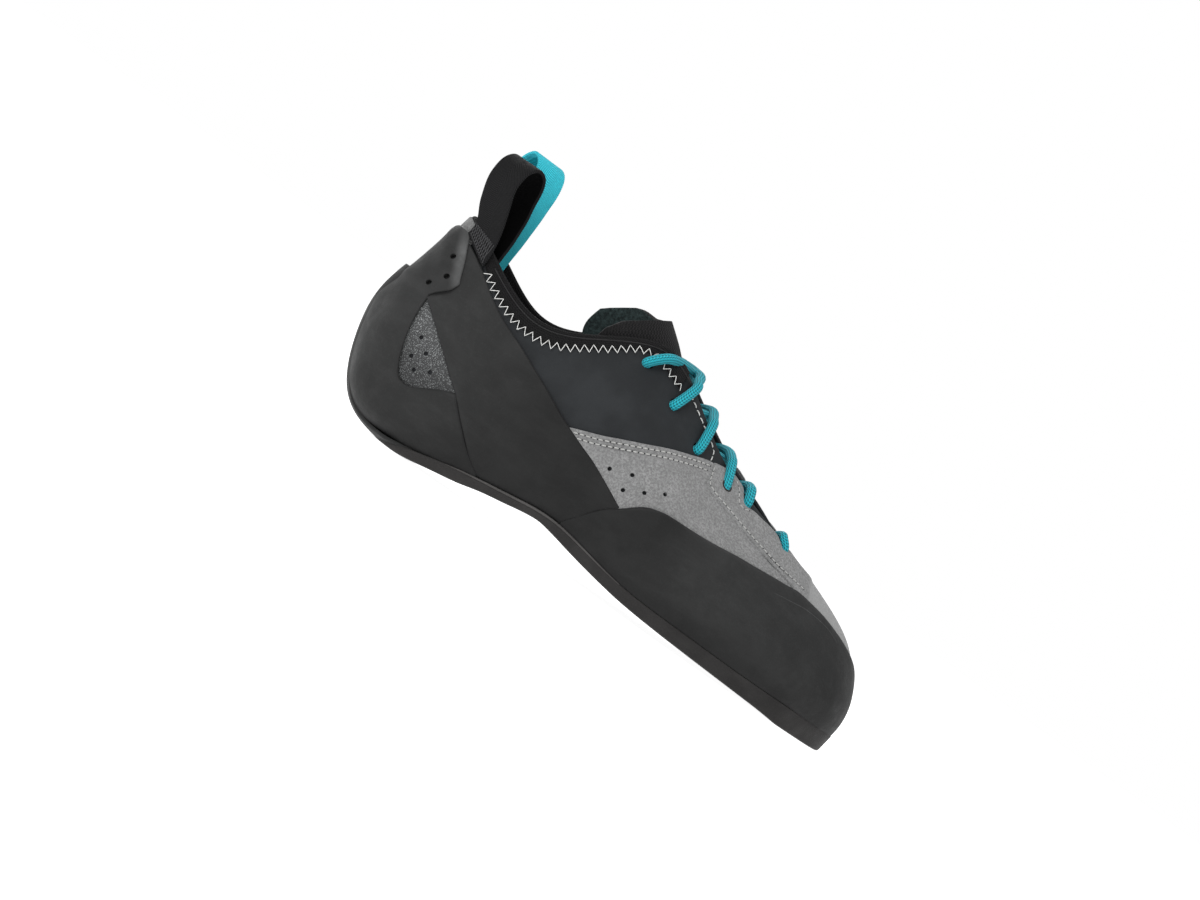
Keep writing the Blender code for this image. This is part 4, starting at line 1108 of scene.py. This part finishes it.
class SHOE_OT_outsole(Operator):
    """Sole with arch and toe spring, and the strip that runs up behind the heel"""
    bl_idname = "shoe.outsole"
    bl_label = "Outsole"

    def execute(self, context):
        half = np.concatenate((np.arange(0.0, 8.6, 0.06), np.arange(8.6, TOE_A, 0.025), (TOE_A,)))
        lateral = list(zip(*edge_band(half)))
        medial = list(zip(*edge_band(RING - half)))
        toes = np.clip((half - 8.6) / 1.2, 0.0, 1.0)
        slab = lay_grid("outsole", np.array([sole_section(*row) for row in zip(lateral, medial, toes)]))
        weld(slab)
        table = np.array(TAIL)
        heights = np.linspace(0.0, table[-1, 0], 70)
        widths = np.interp(heights, *smooth_path(table, 6).T)
        rows = np.array([((-width, t), (width, t)) for t, width in zip(heights, widths)])
        blend = swell(heights, 0.06, 0.3)
        side = (1.3 - 0.9 * blend, 1.0)
        face = overlay_points(rows, 40, 5.2, {"low": side, "high": side, "end": (2.2, 1.0)},
                              lift=strip_lift)
        strip = lay_grid("heel_strip", face[:, ::-1])
        thicken(strip, "heel_strip")
        # The sole's rubber gets painted light and shade by shares at heel, waist and toe.
        slab.data.materials.append(rubber_finish("sole_rubber", tone("sole"), 0.12, (1.4, 1.15, 0.96)))
        strip.data.materials.append(rubber_finish("heel_strip_rubber", shade(tone("rubber"), 1.05)))
        dress(join("outsole", (slab, strip)), None, ("outsole",))
        # Pale beads along the sole's top rim at the arch: a painted highlight where the rim catches light.
        arch = np.linspace(2.7, 6.1, 120)
        thin = 0.55 * np.sin(math.pi * np.linspace(0.02, 0.98, 120)) ** 0.5
        pale = rubber_finish("sole_rim_rubber", shade(tone("sole"), 2.0), 0.07, (1.5, 1.5, 1.2))
        for side, ring in (("lateral", arch), ("medial", RING - arch)):
            rim, top, _ = edge_band(ring)
            bead = cord_mesh("sole_rim_" + side, np.column_stack((rim[:, :2], top - 0.25)), thin, 8)
            dress(bead, pale, angle=ROUND_ANGLE)
        return {"FINISHED"}


class SHOE_OT_upper(Operator):
    """Lasted upper with its lining, and the board inside it"""
    bl_idname = "shoe.upper"
    bl_label = "Upper and insole"

    def execute(self, context):
        wall = sizes()["wall"]
        ring = np.linspace(0.0, RING, 321)
        heights = np.linspace(0.0, 1.0, 46)
        lines = [skin(ring, t, 0.0) for t in heights]
        rim, normal, rise = collar_edge(ring)
        for turn in np.radians((30.0, 60.0, 90.0, 120.0, 150.0)):
            lines.append(rim + 0.5 * wall * (normal * (math.cos(turn) - 1.0) + rise * math.sin(turn)))
        lines += [skin(ring, t, -wall) for t in heights[::-1]]
        lines.append(lines[0])
        shell = lay_grid("upper", np.stack(lines, axis=1))
        line_inside(shell, quarter_finish("quarter_microfibre", tone("quarter")),
                    fleece_finish("upper_lining", tone("lining")), 0.5)
        weld(shell)
        bore(shell, holes_at(EYELETS, -0.8, both=True), sizes()["eyelet_radius"])
        dress(shell, None, ("upper",))
        half = np.concatenate((np.arange(0.0, 9.0, 0.1), np.arange(9.0, TOE_A, 0.05), (TOE_A,)))
        sole_top = edge_band(np.linspace(0.0, TOE_A, 161))
        rows = []
        for a in half:
            ends = []
            for place in (a, RING - a):
                base = last([place], [0.0])[0]
                ahead = last([place + 0.02], [0.0])[0] - last([place - 0.02], [0.0])[0]
                spot = base[:2] + np.array((-ahead[1], ahead[0])) / math.hypot(*ahead[:2]) * (wall + 1.0)
                under = np.interp(spot[0], sole_top[0][:, 0], sole_top[1]) + 0.3
                ends.append((np.append(spot, under), np.append(spot, max(under, base[2]) + 2.0)))
            shares = np.linspace(0.0, 1.0, 9)[:, None]
            over = ends[0][1] + (ends[1][1] - ends[0][1]) * shares
            below = ends[1][0] + (ends[0][0] - ends[1][0]) * shares
            rows.append(np.concatenate((over, below, over[:1])))
        board = lay_grid("insole", np.array(rows))
        weld(board)
        dress(board, fleece_finish("insole_cloth", shade(tone("suede"), 0.35)), ("insole",))
        return {"FINISHED"}


class SHOE_OT_collar(Operator):
    """Knit collar, suede heel tab and the pebbled leather behind the heel's window"""
    bl_idname = "shoe.collar"
    bl_label = "Collar, heel tab and heel window"

    def execute(self, context):
        face = sizes()["knit_face"]
        wall = sizes()["wall"]
        seam = line_spots(COLLAR_SEAM, 1.0)
        reach = seam[:, 0].max()
        ring = np.linspace(-reach, reach, 260)
        low = np.interp(np.abs(ring), seam[:, 0], seam[:, 1])
        behind = np.clip((np.abs(ring) - 0.9) / 0.75, 0.0, 1.0)
        low = 0.975 + (np.minimum(low, 0.975) - 0.975) * behind * behind * (3.0 - 2.0 * behind)
        lines = []
        for share in np.array((0.0, 0.03, 0.08, 0.16, 0.3, 0.45, 0.6, 0.75, 0.88, 1.0)):
            t = low + (1.0 - low) * share
            lines.append(skin(ring, t, face - (face + 0.2) * rolled(np.array(share), 0.16)))
        rim, normal, rise = collar_edge(ring)
        radius = 0.5 * (wall + face + 0.7)
        for turn in np.radians((25.0, 50.0, 75.0, 90.0, 105.0, 130.0, 155.0)):
            lines.append(rim + normal * (face - radius + radius * math.cos(turn)) + rise * radius * math.sin(turn))
        for drop in (0.0, 0.03, 0.07, 0.11, 0.14, 0.15):
            lines.append(skin(ring, 1.0 - drop, -wall - 0.7 * (drop < 0.15)))
        lines += [skin(ring, 0.9, -0.5 * wall), skin(ring, low, -0.5 * wall), lines[0]]
        points = np.stack(lines, axis=1)
        for end in (0, -1):
            points[end] = points[end].mean(0)
        collar = lay_grid("knit_collar", points)
        weld(collar)
        dress(collar, knit_finish("collar_knit", tone("knit")))
        rows = np.array([((a, up_centre(abs(a), 82.0)), (a, 1.0)) for a in np.linspace(-1.15, 1.15, 60)])
        tab = lay_grid("heel_tab", overlay_points(rows, 20, 1.5, rims_of(0.9, 0.9, "low", "high")))
        thicken(tab, "heel_tab")
        dress(tab, suede_finish("heel_tab_suede", shade(tone("suede"), 0.8)))
        rows = resample(overlay_rows(HEEL_WINDOW), 0.8)
        leather = leather_finish("heel_window_leather", tone("leather"))
        for side, part in both_sides(rows):
            window = lay_grid("heel_window_" + side,
                              overlay_points(part, 40, 0.75, rims_of(0.3, 0.8, "low", "high")))
            thicken(window, "heel_window")
            bore(window, holes_at(WINDOW_VENTS, 0.5, side == "medial"), sizes()["vent_radius"])
            dress(window, leather)
        return {"FINISHED"}


class SHOE_OT_tongue(Operator):
    """Padded mesh tongue arched under the throat"""
    bl_idname = "shoe.tongue"
    bl_label = "Tongue"

    def execute(self, context):
        rows = smooth_path(np.array(list(TONGUE_ROWS.values())), 8)
        points = np.zeros((len(rows), 49, 3))
        for index, row in enumerate(rows):
            x_ridge, z_ridge, x_far, z_far, half_lat, half_med, fullness, x_near, z_near = row
            reach = 90.0 - 5.0 * max(0.0, 1.0 - index / 4.0) ** 2
            turns = np.radians(np.linspace(-reach, reach, 49))
            near = turns < 0.0
            x_wing = np.where(near, x_near, x_far)
            z_wing = np.where(near, z_near, z_far)
            rise = np.hypot(x_ridge - x_wing, z_ridge - z_wing)
            angle = np.degrees(np.abs(turns))
            bow = np.where(near, np.interp(angle, *np.array(TONGUE_NEAR).T), np.interp(angle, *np.array(TONGUE_FAR).T))
            bow = fullness * bow / rise
            points[index, :, 0] = x_wing + (x_ridge - x_wing) * np.cos(turns) - (z_ridge - z_wing) * bow
            points[index, :, 1] = np.where(near, half_lat, half_med) * np.sin(turns)
            points[index, :, 2] = z_wing + (z_ridge - z_wing) * np.cos(turns) + (x_ridge - x_wing) * bow
        pad = lay_grid("tongue", points)
        pad.data.materials.append(knit_finish("tongue_mesh", shade(tone("knit"), 1.8), 1.7))
        pad.data.materials.append(fleece_finish("tongue_lining", shade(tone("lining"), 3.8)))
        modify(pad, "SOLIDIFY", thickness=sizes()["tongue"] * MM, offset=-1.0, use_quality_normals=True,
               material_offset=1)
        modify(pad, "BEVEL", width=0.9 * MM, segments=3, limit_method="ANGLE", angle_limit=math.radians(50.0))
        dress(pad, None, ("tongue",))
        return {"FINISHED"}


class SHOE_OT_rubber(Operator):
    """Toe rand, heel cap and tension bands"""
    bl_idname = "shoe.rubber"
    bl_label = "Rand, heel cap and bands"

    def execute(self, context):
        size = sizes()
        # Rand and band rubber, with painted shade towards the sole.
        rubber = rubber_finish("rand_rubber", tone("rubber"), painted_low_shade=True)
        half = np.vstack((overlay_rows(TOE_RAND, TOE_A), toe_rows(0.0, None, 0.0)[1:]))
        whole = resample(np.vstack((half, mirrored(half)[1:])), 1.1)
        roll = 1.3 + 2.4 * swell(np.abs(whole[:, 0, 0] - TOE_A), 3.2, 1.4)
        rims = {"high": (1.2, roll), **rims_of(1.0, 1.3, "start", "end")}
        face = overlay_points(whole, 44, size["rand_face"], rims, creased(RAND_FOLDS), rand_lift)
        rand = lay_grid("toe_rand", face)
        thicken(rand, "toe_rand")
        dress(rand, rubber, ("toe_rand",))
        ridge = smooth_path(np.array([locate(x, z) for x, z in RAND_RIDGE]), 14)
        thin = 0.3 * np.sin(math.pi * np.linspace(0.02, 0.98, len(ridge))) ** 0.6
        # The ridge beads are paler rubber: a painted highlight along the ridge.
        pale = rubber_finish("ridge_rubber", shade(tone("rubber"), 2.0))
        for side, line in both_sides(ridge):
            bead = cord_mesh("toe_rand_ridge_" + side, skin(line[:, 0], line[:, 1], size["rand_face"] + 0.38), thin, 6)
            dress(bead, pale, angle=ROUND_ANGLE)
        rows = resample(overlay_rows(HEEL_CAP), 0.9, HEEL_CAP_CORNERS)[::-1]
        halves = []
        for part, front, top in ((rows, "end", "start"), (mirrored(rows, 0.0), "start", "end")):
            brink = last(part[:, 1, 0], part[:, 1, 1])
            soft = swell(brink[:, 0], 33.0, 39.0) * swell(brink[:, 2], 36.0, 33.5)
            rims = {"high": (0.8 + 0.8 * soft, 0.8 + 4.2 * soft), front: (0.8, 1.0), top: (0.5, 0.6)}
            face = overlay_points(part, 40, size["rand_face"], rims, creased(CAP_FOLDS), ear_lift)
            halves.append(lay_grid("heel_cap_half", face))
        cap = join("heel_cap", halves)
        edit(cap, (bpy.ops.mesh.remove_doubles, {"threshold": 0.01 * MM}))
        thicken(cap, "heel_cap")
        bore(cap, holes_at(CAP_VENTS, 3.0, both=True), 1.4 * size["vent_radius"])
        # Heel cap rubber, with a painted highlight on the ear facets and painted shade towards the sole.
        dress(cap, rubber_finish("heel_cap_rubber", tone("rubber"), ear=True, painted_low_shade=True), ("heel_cap",))
        rows = resample(overlay_rows(TENSION_BAND), 1.0)
        for side, part in both_sides(rows):
            name = "tension_band_" + side
            rims = {"low": (np.where(part[:, 0, 1] > 0.02, 1.0, 0.05), 0.9), "high": (1.0, 0.9)}
            face = overlay_points(part, 48, size["band_face"], rims, creased(BAND_FOLDS))
            band = lay_grid(name, face)
            thicken(band, "tension_band")
            dress(band, rubber, (name,))
        return {"FINISHED"}


class SHOE_OT_suede(Operator):
    """Suede vamp panels and the eyestay that runs over the toe"""
    bl_idname = "shoe.suede"
    bl_label = "Vamp and eyestay"

    def execute(self, context):
        size = sizes()
        suede = suede_finish("vamp_suede", tone("suede"))
        rows = resample(overlay_rows(VAMP), 1.0)
        for side, part in both_sides(rows):
            name = "vamp_" + side
            panel = lay_grid(name, overlay_points(part, 36, size["suede_face"], rims_of(0.7, 0.6, "low", "high"),
                                                  creased(SUEDE_FOLDS)))
            thicken(panel, "vamp")
            bore(panel, holes_at(VAMP_VENTS, 1.0, side == "medial"), size["vent_radius"])
            dress(panel, suede, (name,))
        half = np.vstack((overlay_rows(EYESTAY, TOE_A), toe_rows(None, 1.0, -2.5)))
        whole = resample(np.vstack((half, mirrored(half)[1:])), 0.8)
        rims = rims_of(0.8, 0.8, "low", "high", "start", "end")
        face = overlay_points(whole, 40, size["stay_face"], rims, creased(SUEDE_FOLDS), stay_lift)
        stay = lay_grid("eyestay", face)
        thicken(stay, "eyestay")
        dress(stay, suede, ("eyestay",))
        # Dark rings round the fourth eyelets: painted shadow where the lace goes into the suede.
        turns = np.linspace(0.0, 2.0 * math.pi, 25)[:, None]
        rings = []
        for centre, outward in holes_at(EYELETS[3:4], size["stay_face"], both=True):
            one = np.cross(outward, (0.0, 0.0, 1.0))
            one = one / np.linalg.norm(one)
            rings.append(centre + 2.2 * (one * np.cos(turns) + np.cross(outward, one) * np.sin(turns)))
        rims = threads("eyelet_rims", rings, 0.42)
        dress(rims, suede_finish("eyelet_cut_edge", shade(tone("suede"), 0.12)), angle=ROUND_ANGLE)
        return {"FINISHED"}


def crossing(eye, over, landing, far, clear, bulge):
    """One strand: out of an eyelet, over the tongue and under the other side."""
    x_eye, z_eye = eye
    x_over, z_over = over
    x_edge = 0.45 * x_eye + 0.55 * x_over + 0.6
    z_edge = 0.45 * z_eye + 0.55 * z_over
    start = surface_spots(((x_eye, z_eye, LACE_DEEP), (x_eye, z_eye, LACE_PROUD)), far)
    rim = surface_spots(((x_edge, z_edge, clear),), far)
    rim[0] = rim[0] + np.array((bulge, 0.0, -0.6 * max(bulge, 0.0)))
    middle = [np.array((x_over, 0.0, z_over))]
    brow = [0.62 * rim[0] + 0.38 * middle[0] + np.array((0.0, 0.0, 0.7))]
    end = surface_spots(landing, not far)
    return smooth_path(start + rim + brow + middle + end, 8)


class SHOE_OT_lace(Operator):
    """Round lace crossing the throat through its eyelets"""
    bl_idname = "shoe.lace"
    bl_label = "Lace"

    def execute(self, context):
        radius = sizes()["lace_radius"]
        strands = []
        for index, (x_over, z_over, under, drop, bulge) in enumerate(LACE_OVER):
            upper_eye, lower_eye = EYELETS[index], EYELETS[index + 1]
            for far in (False, True):
                lowest = index == len(LACE_OVER) - 1
                height = z_over - (drop if far else 0.0)
                middle = x_over - (LACE_BACK if far and index == 0 else 0.0)
                if index == 0:
                    landing = (LACE_REST, (*upper_eye, LACE_PROUD), (*upper_eye, LACE_DEEP))
                else:
                    x_land = x_over - 3.0 if lowest else 0.35 * upper_eye[0] + 0.65 * x_over
                    landing = ((x_land, under, -2.4), (*upper_eye, -4.2))
                path = crossing(lower_eye, (middle, height), landing, far, 4.0 if far and lowest else 3.1, bulge)
                strands.append(cord_mesh("lace_strand", path, radius * (LACE_LOWEST if lowest else 1.0), 16))
        lace = join("lace", strands)
        around = 2.0 * math.pi * radius
        dress(lace, braid_finish("lace_braid", tone("teal"), around), ("lace",))
        return {"FINISHED"}


class LoopTape:
    """Webbing that runs up from the collar edge and back down behind it."""

    def __init__(self, hand, place, shift, rise):
        edge = last([place], [1.0])[0]
        back, aside = LOOP_FACING
        out = np.array((-back, aside * hand, 0.0))
        along = np.array((aside, back * hand, 0.0))
        path = []
        for distance, height in smooth_path(np.array(LOOP_PATH), 10):
            up = height * (rise if height > 0.0 else 1.0)
            path.append(edge + out * distance + along * shift * swell(up, -2.0, 26.0) + np.array((0.0, 0.0, up)))
        self.path = np.array(path)
        ahead = unit(np.gradient(self.path, axis=0))
        self.across = unit(along - ahead * (ahead @ along)[:, None])
        self.face = np.cross(ahead, self.across) * hand
        self.height = self.path[:, 2] - edge[2]
        self.slope = 0.5 * (1.0 - swell(self.height, 0.0, 16.0))

    def spot(self, index, side, out):
        """A point on the webbing, its base sloping with the collar edge."""
        low, part = int(index), index - int(index)
        path, across, face, slope = (values[low] + (values[min(low + 1, len(values) - 1)] - values[low]) * part
                                     for values in (self.path, self.across, self.face, self.slope))
        return path + across * side + face * out - np.array((0.0, 0.0, slope * side))

    def points(self, width, depth):
        """Closed section of the webbing at each step of its path."""
        half = 0.5 * width - 0.5 * depth
        turns = np.radians(np.linspace(-90.0, 90.0, 7))
        ends = [[(sign * (half + 0.5 * depth * math.cos(turn)), sign * 0.5 * depth * math.sin(turn))
                 for turn in turns] for sign in (1.0, -1.0)]
        flat = np.linspace(half, -half, 7)[1:-1]
        section = ends[0] + [(side, 0.5 * depth) for side in flat]
        section += ends[1] + [(-side, -0.5 * depth) for side in flat]
        section.append(section[0])
        rows = [[self.spot(index, side, out) for side, out in section] for index in range(len(self.path))]
        caps = [[np.mean(rows[end][:-1], axis=0)] * len(section) for end in (0, -1)]
        return np.array([caps[0], *rows, caps[1]])

    def hatching(self, width, depth):
        """Threads of the bar tack: two crossing sets of short slanted lines."""
        first = int(np.argmax(self.height > -3.8))
        final = int(np.argmax(self.height > 2.6))
        lines = []
        for lean in (2.2, -2.2):
            for side in np.arange(-0.5 * width + 1.2, 0.5 * width - 1.1, 1.25):
                shares = np.linspace(0.0, 1.0, 5)
                sides = np.clip(side + lean * (shares - 0.5), -0.5 * width + 0.5, 0.5 * width - 0.5)
                lines.append(np.array([self.spot(first + (final - first) * share, offset, 0.5 * depth + 0.06)
                                       for share, offset in zip(shares, sides)]))
        return lines


class SHOE_OT_pull_loops(Operator):
    """Webbing pull loops beside the heel"""
    bl_idname = "shoe.pull_loops"
    bl_label = "Pull loops"

    def execute(self, context):
        size = sizes()
        width, depth = size["webbing_width"], size["webbing"]
        black = tone("webbing")
        teal = tone("teal")
        pale = tuple(1.3 * part + 0.03 for part in teal)
        # The inner faces of the loops get darker copies of their webbing: painted shade inside the loops.
        loops = (("pull_loop_lateral", LoopTape(-1.0, *LATERAL_LOOP),
                  webbing_finish("black_webbing", black, 0.55, 0.06),
                  webbing_finish("black_webbing_inside", shade(black, 0.13), 0.55, 0.02),
                  thread_finish("black_tack", shade(black, 5.0))),
                 ("pull_loop_medial", LoopTape(1.0, *MEDIAL_LOOP),
                  webbing_finish("teal_webbing", pale, 0.0),
                  webbing_finish("teal_webbing_inside", shade(teal, 0.9), 0.0),
                  thread_finish("teal_tack", shade(teal, 0.55))))
        for name, tape, finish, inside, thread in loops:
            loop = lay_grid(name, tape.points(width, depth))
            line_inside(loop, finish, inside, 0.562)
            weld(loop)
            dress(loop, None, (name,))
            tack = threads(name + "_tack", tape.hatching(width, depth), 0.13, 5)
            dress(tack, thread, angle=ROUND_ANGLE)
        return {"FINISHED"}


class SHOE_OT_stitching(Operator):
    """Zigzag collar seam and the stitches of throat, vamp and eyestay"""
    bl_idname = "shoe.stitching"
    bl_label = "Stitching"

    def execute(self, context):
        size = sizes()
        radius = size["thread_radius"]
        white = thread_finish("white_thread", tone("thread"))
        grey = thread_finish("grey_thread", shade(tone("thread"), 0.58))
        # Needle holes are dark plugs in the surface: painted shade inside the holes.
        hole_shade = thread_finish("needle_hole", shade(tone("suede"), 0.12))
        seam = line_spots(COLLAR_SEAM[1:], 0.5)
        rim = np.stack((np.linspace(2.05, 5.75, 120), np.full(120, 0.985)), axis=1)
        throat = line_spots(THROAT_STITCH, 0.5)
        suede_rows = [(line_spots(table, 0.5), size[face], share * radius) for tables, face, share in (
            (VAMP_STITCHES, "suede_face", 1.2), ((STAY_STITCH, NOTCH_STITCH), "stay_face", 0.95)) for table in tables]
        for side, turn in (("lateral", np.copy), ("medial", mirrored)):
            zigzag = zigzag_line("collar_zigzag_" + side, turn(seam), size["knit_face"] + 0.15, 3.7, 3.2, 0.65 * radius)
            dress(zigzag, white, angle=ROUND_ANGLE)
            edge = turn(rim)
            piping = cord_mesh("collar_piping_" + side, skin(edge[:, 0], edge[:, 1], size["knit_face"] + 0.05), 0.28, 6)
            dress(piping, thread_finish("piping_thread_" + side, shade(tone("knit"), 2.8)), angle=ROUND_ANGLE)
            line, holes = stitch_line("throat_stitch_" + side, turn(throat), 0.05, 2.4, 0.9, radius)
            dress(line, white, angle=ROUND_ANGLE)
            dress(holes, hole_shade, angle=ROUND_ANGLE)
            pairs = [stitch_line("stitch_row", turn(row), out, 1.7, 0.8, width) for row, out, width in suede_rows]
            dress(join("suede_stitch_" + side, [pair[0] for pair in pairs]), grey, angle=ROUND_ANGLE)
            dress(join("suede_needle_holes_" + side, [pair[1] for pair in pairs]), hole_shade, angle=ROUND_ANGLE)
        return {"FINISHED"}


def lay_floor():
    """Pale floor that glows like a light table."""
    bpy.ops.object.select_all(action="DESELECT")
    bpy.ops.mesh.primitive_plane_add(size=FLOOR_WIDTH)
    floor = bpy.context.active_object
    floor.name = "floor"
    paper = Finish("floor_light_table", 0.9, specular=0.1)
    tint = paper.blend(paper.noise(400.0), (0.53, 0.53, 0.53), (0.57, 0.57, 0.57))
    paper.shader.inputs["Emission Color"].default_value = (1.0, 1.0, 1.0, 1.0)
    paper.shader.inputs["Emission Strength"].default_value = FLOOR_GLOW
    floor.data.materials.append(paper.finish(colour=tint))


def paint_sky():
    """White studio round the shoe, bright at the horizon and dimmer overhead."""
    world = bpy.data.worlds.new("studio")
    bpy.context.scene.world = world
    world.use_nodes = True
    sky = world.node_tree
    way = sky.nodes.new("ShaderNodeTexCoord")
    parts = sky.nodes.new("ShaderNodeSeparateXYZ")
    fade = sky.nodes.new("ShaderNodeMapRange")
    sky.links.new(way.outputs["Generated"], parts.inputs[0])
    sky.links.new(parts.outputs["Z"], fade.inputs["Value"])
    for socket, value in zip(("From Min", "From Max", "To Min", "To Max"), SKY_FADE):
        fade.inputs[socket].default_value = value
    sky.nodes["Background"].inputs["Color"].default_value = (1.0, 1.0, 1.0, 1.0)
    sky.links.new(fade.outputs["Result"], sky.nodes["Background"].inputs["Strength"])


def hang_lights():
    """Soft studio lights that face the shoe."""
    for name, place, width, power in STUDIO_LIGHTS:
        bpy.ops.object.light_add(type="AREA", location=place)
        lamp = bpy.context.active_object
        lamp.name = name
        lamp.data.size = width
        lamp.data.energy = power
        lamp.rotation_euler = (Vector(LIGHT_TARGET) - Vector(place)).to_track_quat("-Z", "Y").to_euler()


def place_camera():
    """Camera at the side of the shoe, rolled as the picture is."""
    aim = Vector(((VIEW_MIDDLE[0] - ORIGIN[0]) * MM, 0.0, VIEW_MIDDLE[1] * MM))
    lift = math.radians(VIEW_LIFT)
    away = Vector((0.0, -math.cos(lift), math.sin(lift)))
    level_up = Vector((0.0, math.sin(lift), math.cos(lift)))
    roll = math.radians(VIEW_ROLL)
    right = Vector((1.0, 0.0, 0.0)) * math.cos(roll) + level_up * math.sin(roll)
    up = level_up * math.cos(roll) - Vector((1.0, 0.0, 0.0)) * math.sin(roll)
    bpy.ops.object.camera_add()
    camera = bpy.context.active_object
    camera.name = "camera"
    turn = Matrix((right, up, away)).transposed().to_4x4()
    camera.matrix_world = Matrix.Translation(aim + away * VIEW_DISTANCE) @ turn
    camera.data.sensor_width = SENSOR_WIDTH
    camera.data.lens = SENSOR_WIDTH * VIEW_DISTANCE / (VIEW_WIDTH * MM)
    camera.data.clip_end = 100.0
    bpy.context.scene.camera = camera


class SHOE_OT_stage(Operator):
    """Pale floor, soft studio light and the camera at the side of the shoe"""
    bl_idname = "shoe.stage"
    bl_label = "Stage"

    def execute(self, context):
        lay_floor()
        paint_sky()
        hang_lights()
        place_camera()
        context.scene.view_settings.view_transform = "Standard"
        return {"FINISHED"}


class SHOE_PT_pieces(Panel):
    """Lists the pieces of the shoe"""
    bl_idname = "SHOE_PT_pieces"
    bl_label = "Climbing Shoe"
    bl_space_type = "VIEW_3D"
    bl_region_type = "UI"
    bl_category = "Shoe"

    def draw(self, context):
        for operator in PIECE_OPERATORS:
            self.layout.operator(operator.bl_idname)
        for group in (context.scene.shoe_sizes, context.scene.shoe_colours):
            box = self.layout.box()
            for name in group.__annotations__:
                box.prop(group, name)


PIECE_OPERATORS = (
    SHOE_OT_stage, SHOE_OT_outsole, SHOE_OT_upper, SHOE_OT_collar, SHOE_OT_tongue, SHOE_OT_rubber,
    SHOE_OT_suede, SHOE_OT_lace, SHOE_OT_pull_loops, SHOE_OT_stitching,
)
CLASSES = (ShoeSizes, ShoeColours, *PIECE_OPERATORS, SHOE_PT_pieces)


def register():
    for item in CLASSES:
        bpy.utils.register_class(item)
    bpy.types.Scene.shoe_sizes = PointerProperty(type=ShoeSizes)
    bpy.types.Scene.shoe_colours = PointerProperty(type=ShoeColours)


def unregister():
    del bpy.types.Scene.shoe_colours
    del bpy.types.Scene.shoe_sizes
    for item in reversed(CLASSES):
        bpy.utils.unregister_class(item)


def main():
    register()
    bpy.ops.shoe.stage()
    bpy.ops.shoe.outsole()
    bpy.ops.shoe.upper()
    bpy.ops.shoe.collar()
    bpy.ops.shoe.tongue()
    bpy.ops.shoe.rubber()
    bpy.ops.shoe.suede()
    bpy.ops.shoe.lace()
    bpy.ops.shoe.pull_loops()
    bpy.ops.shoe.stitching()


if __name__ == "__main__":
    main()
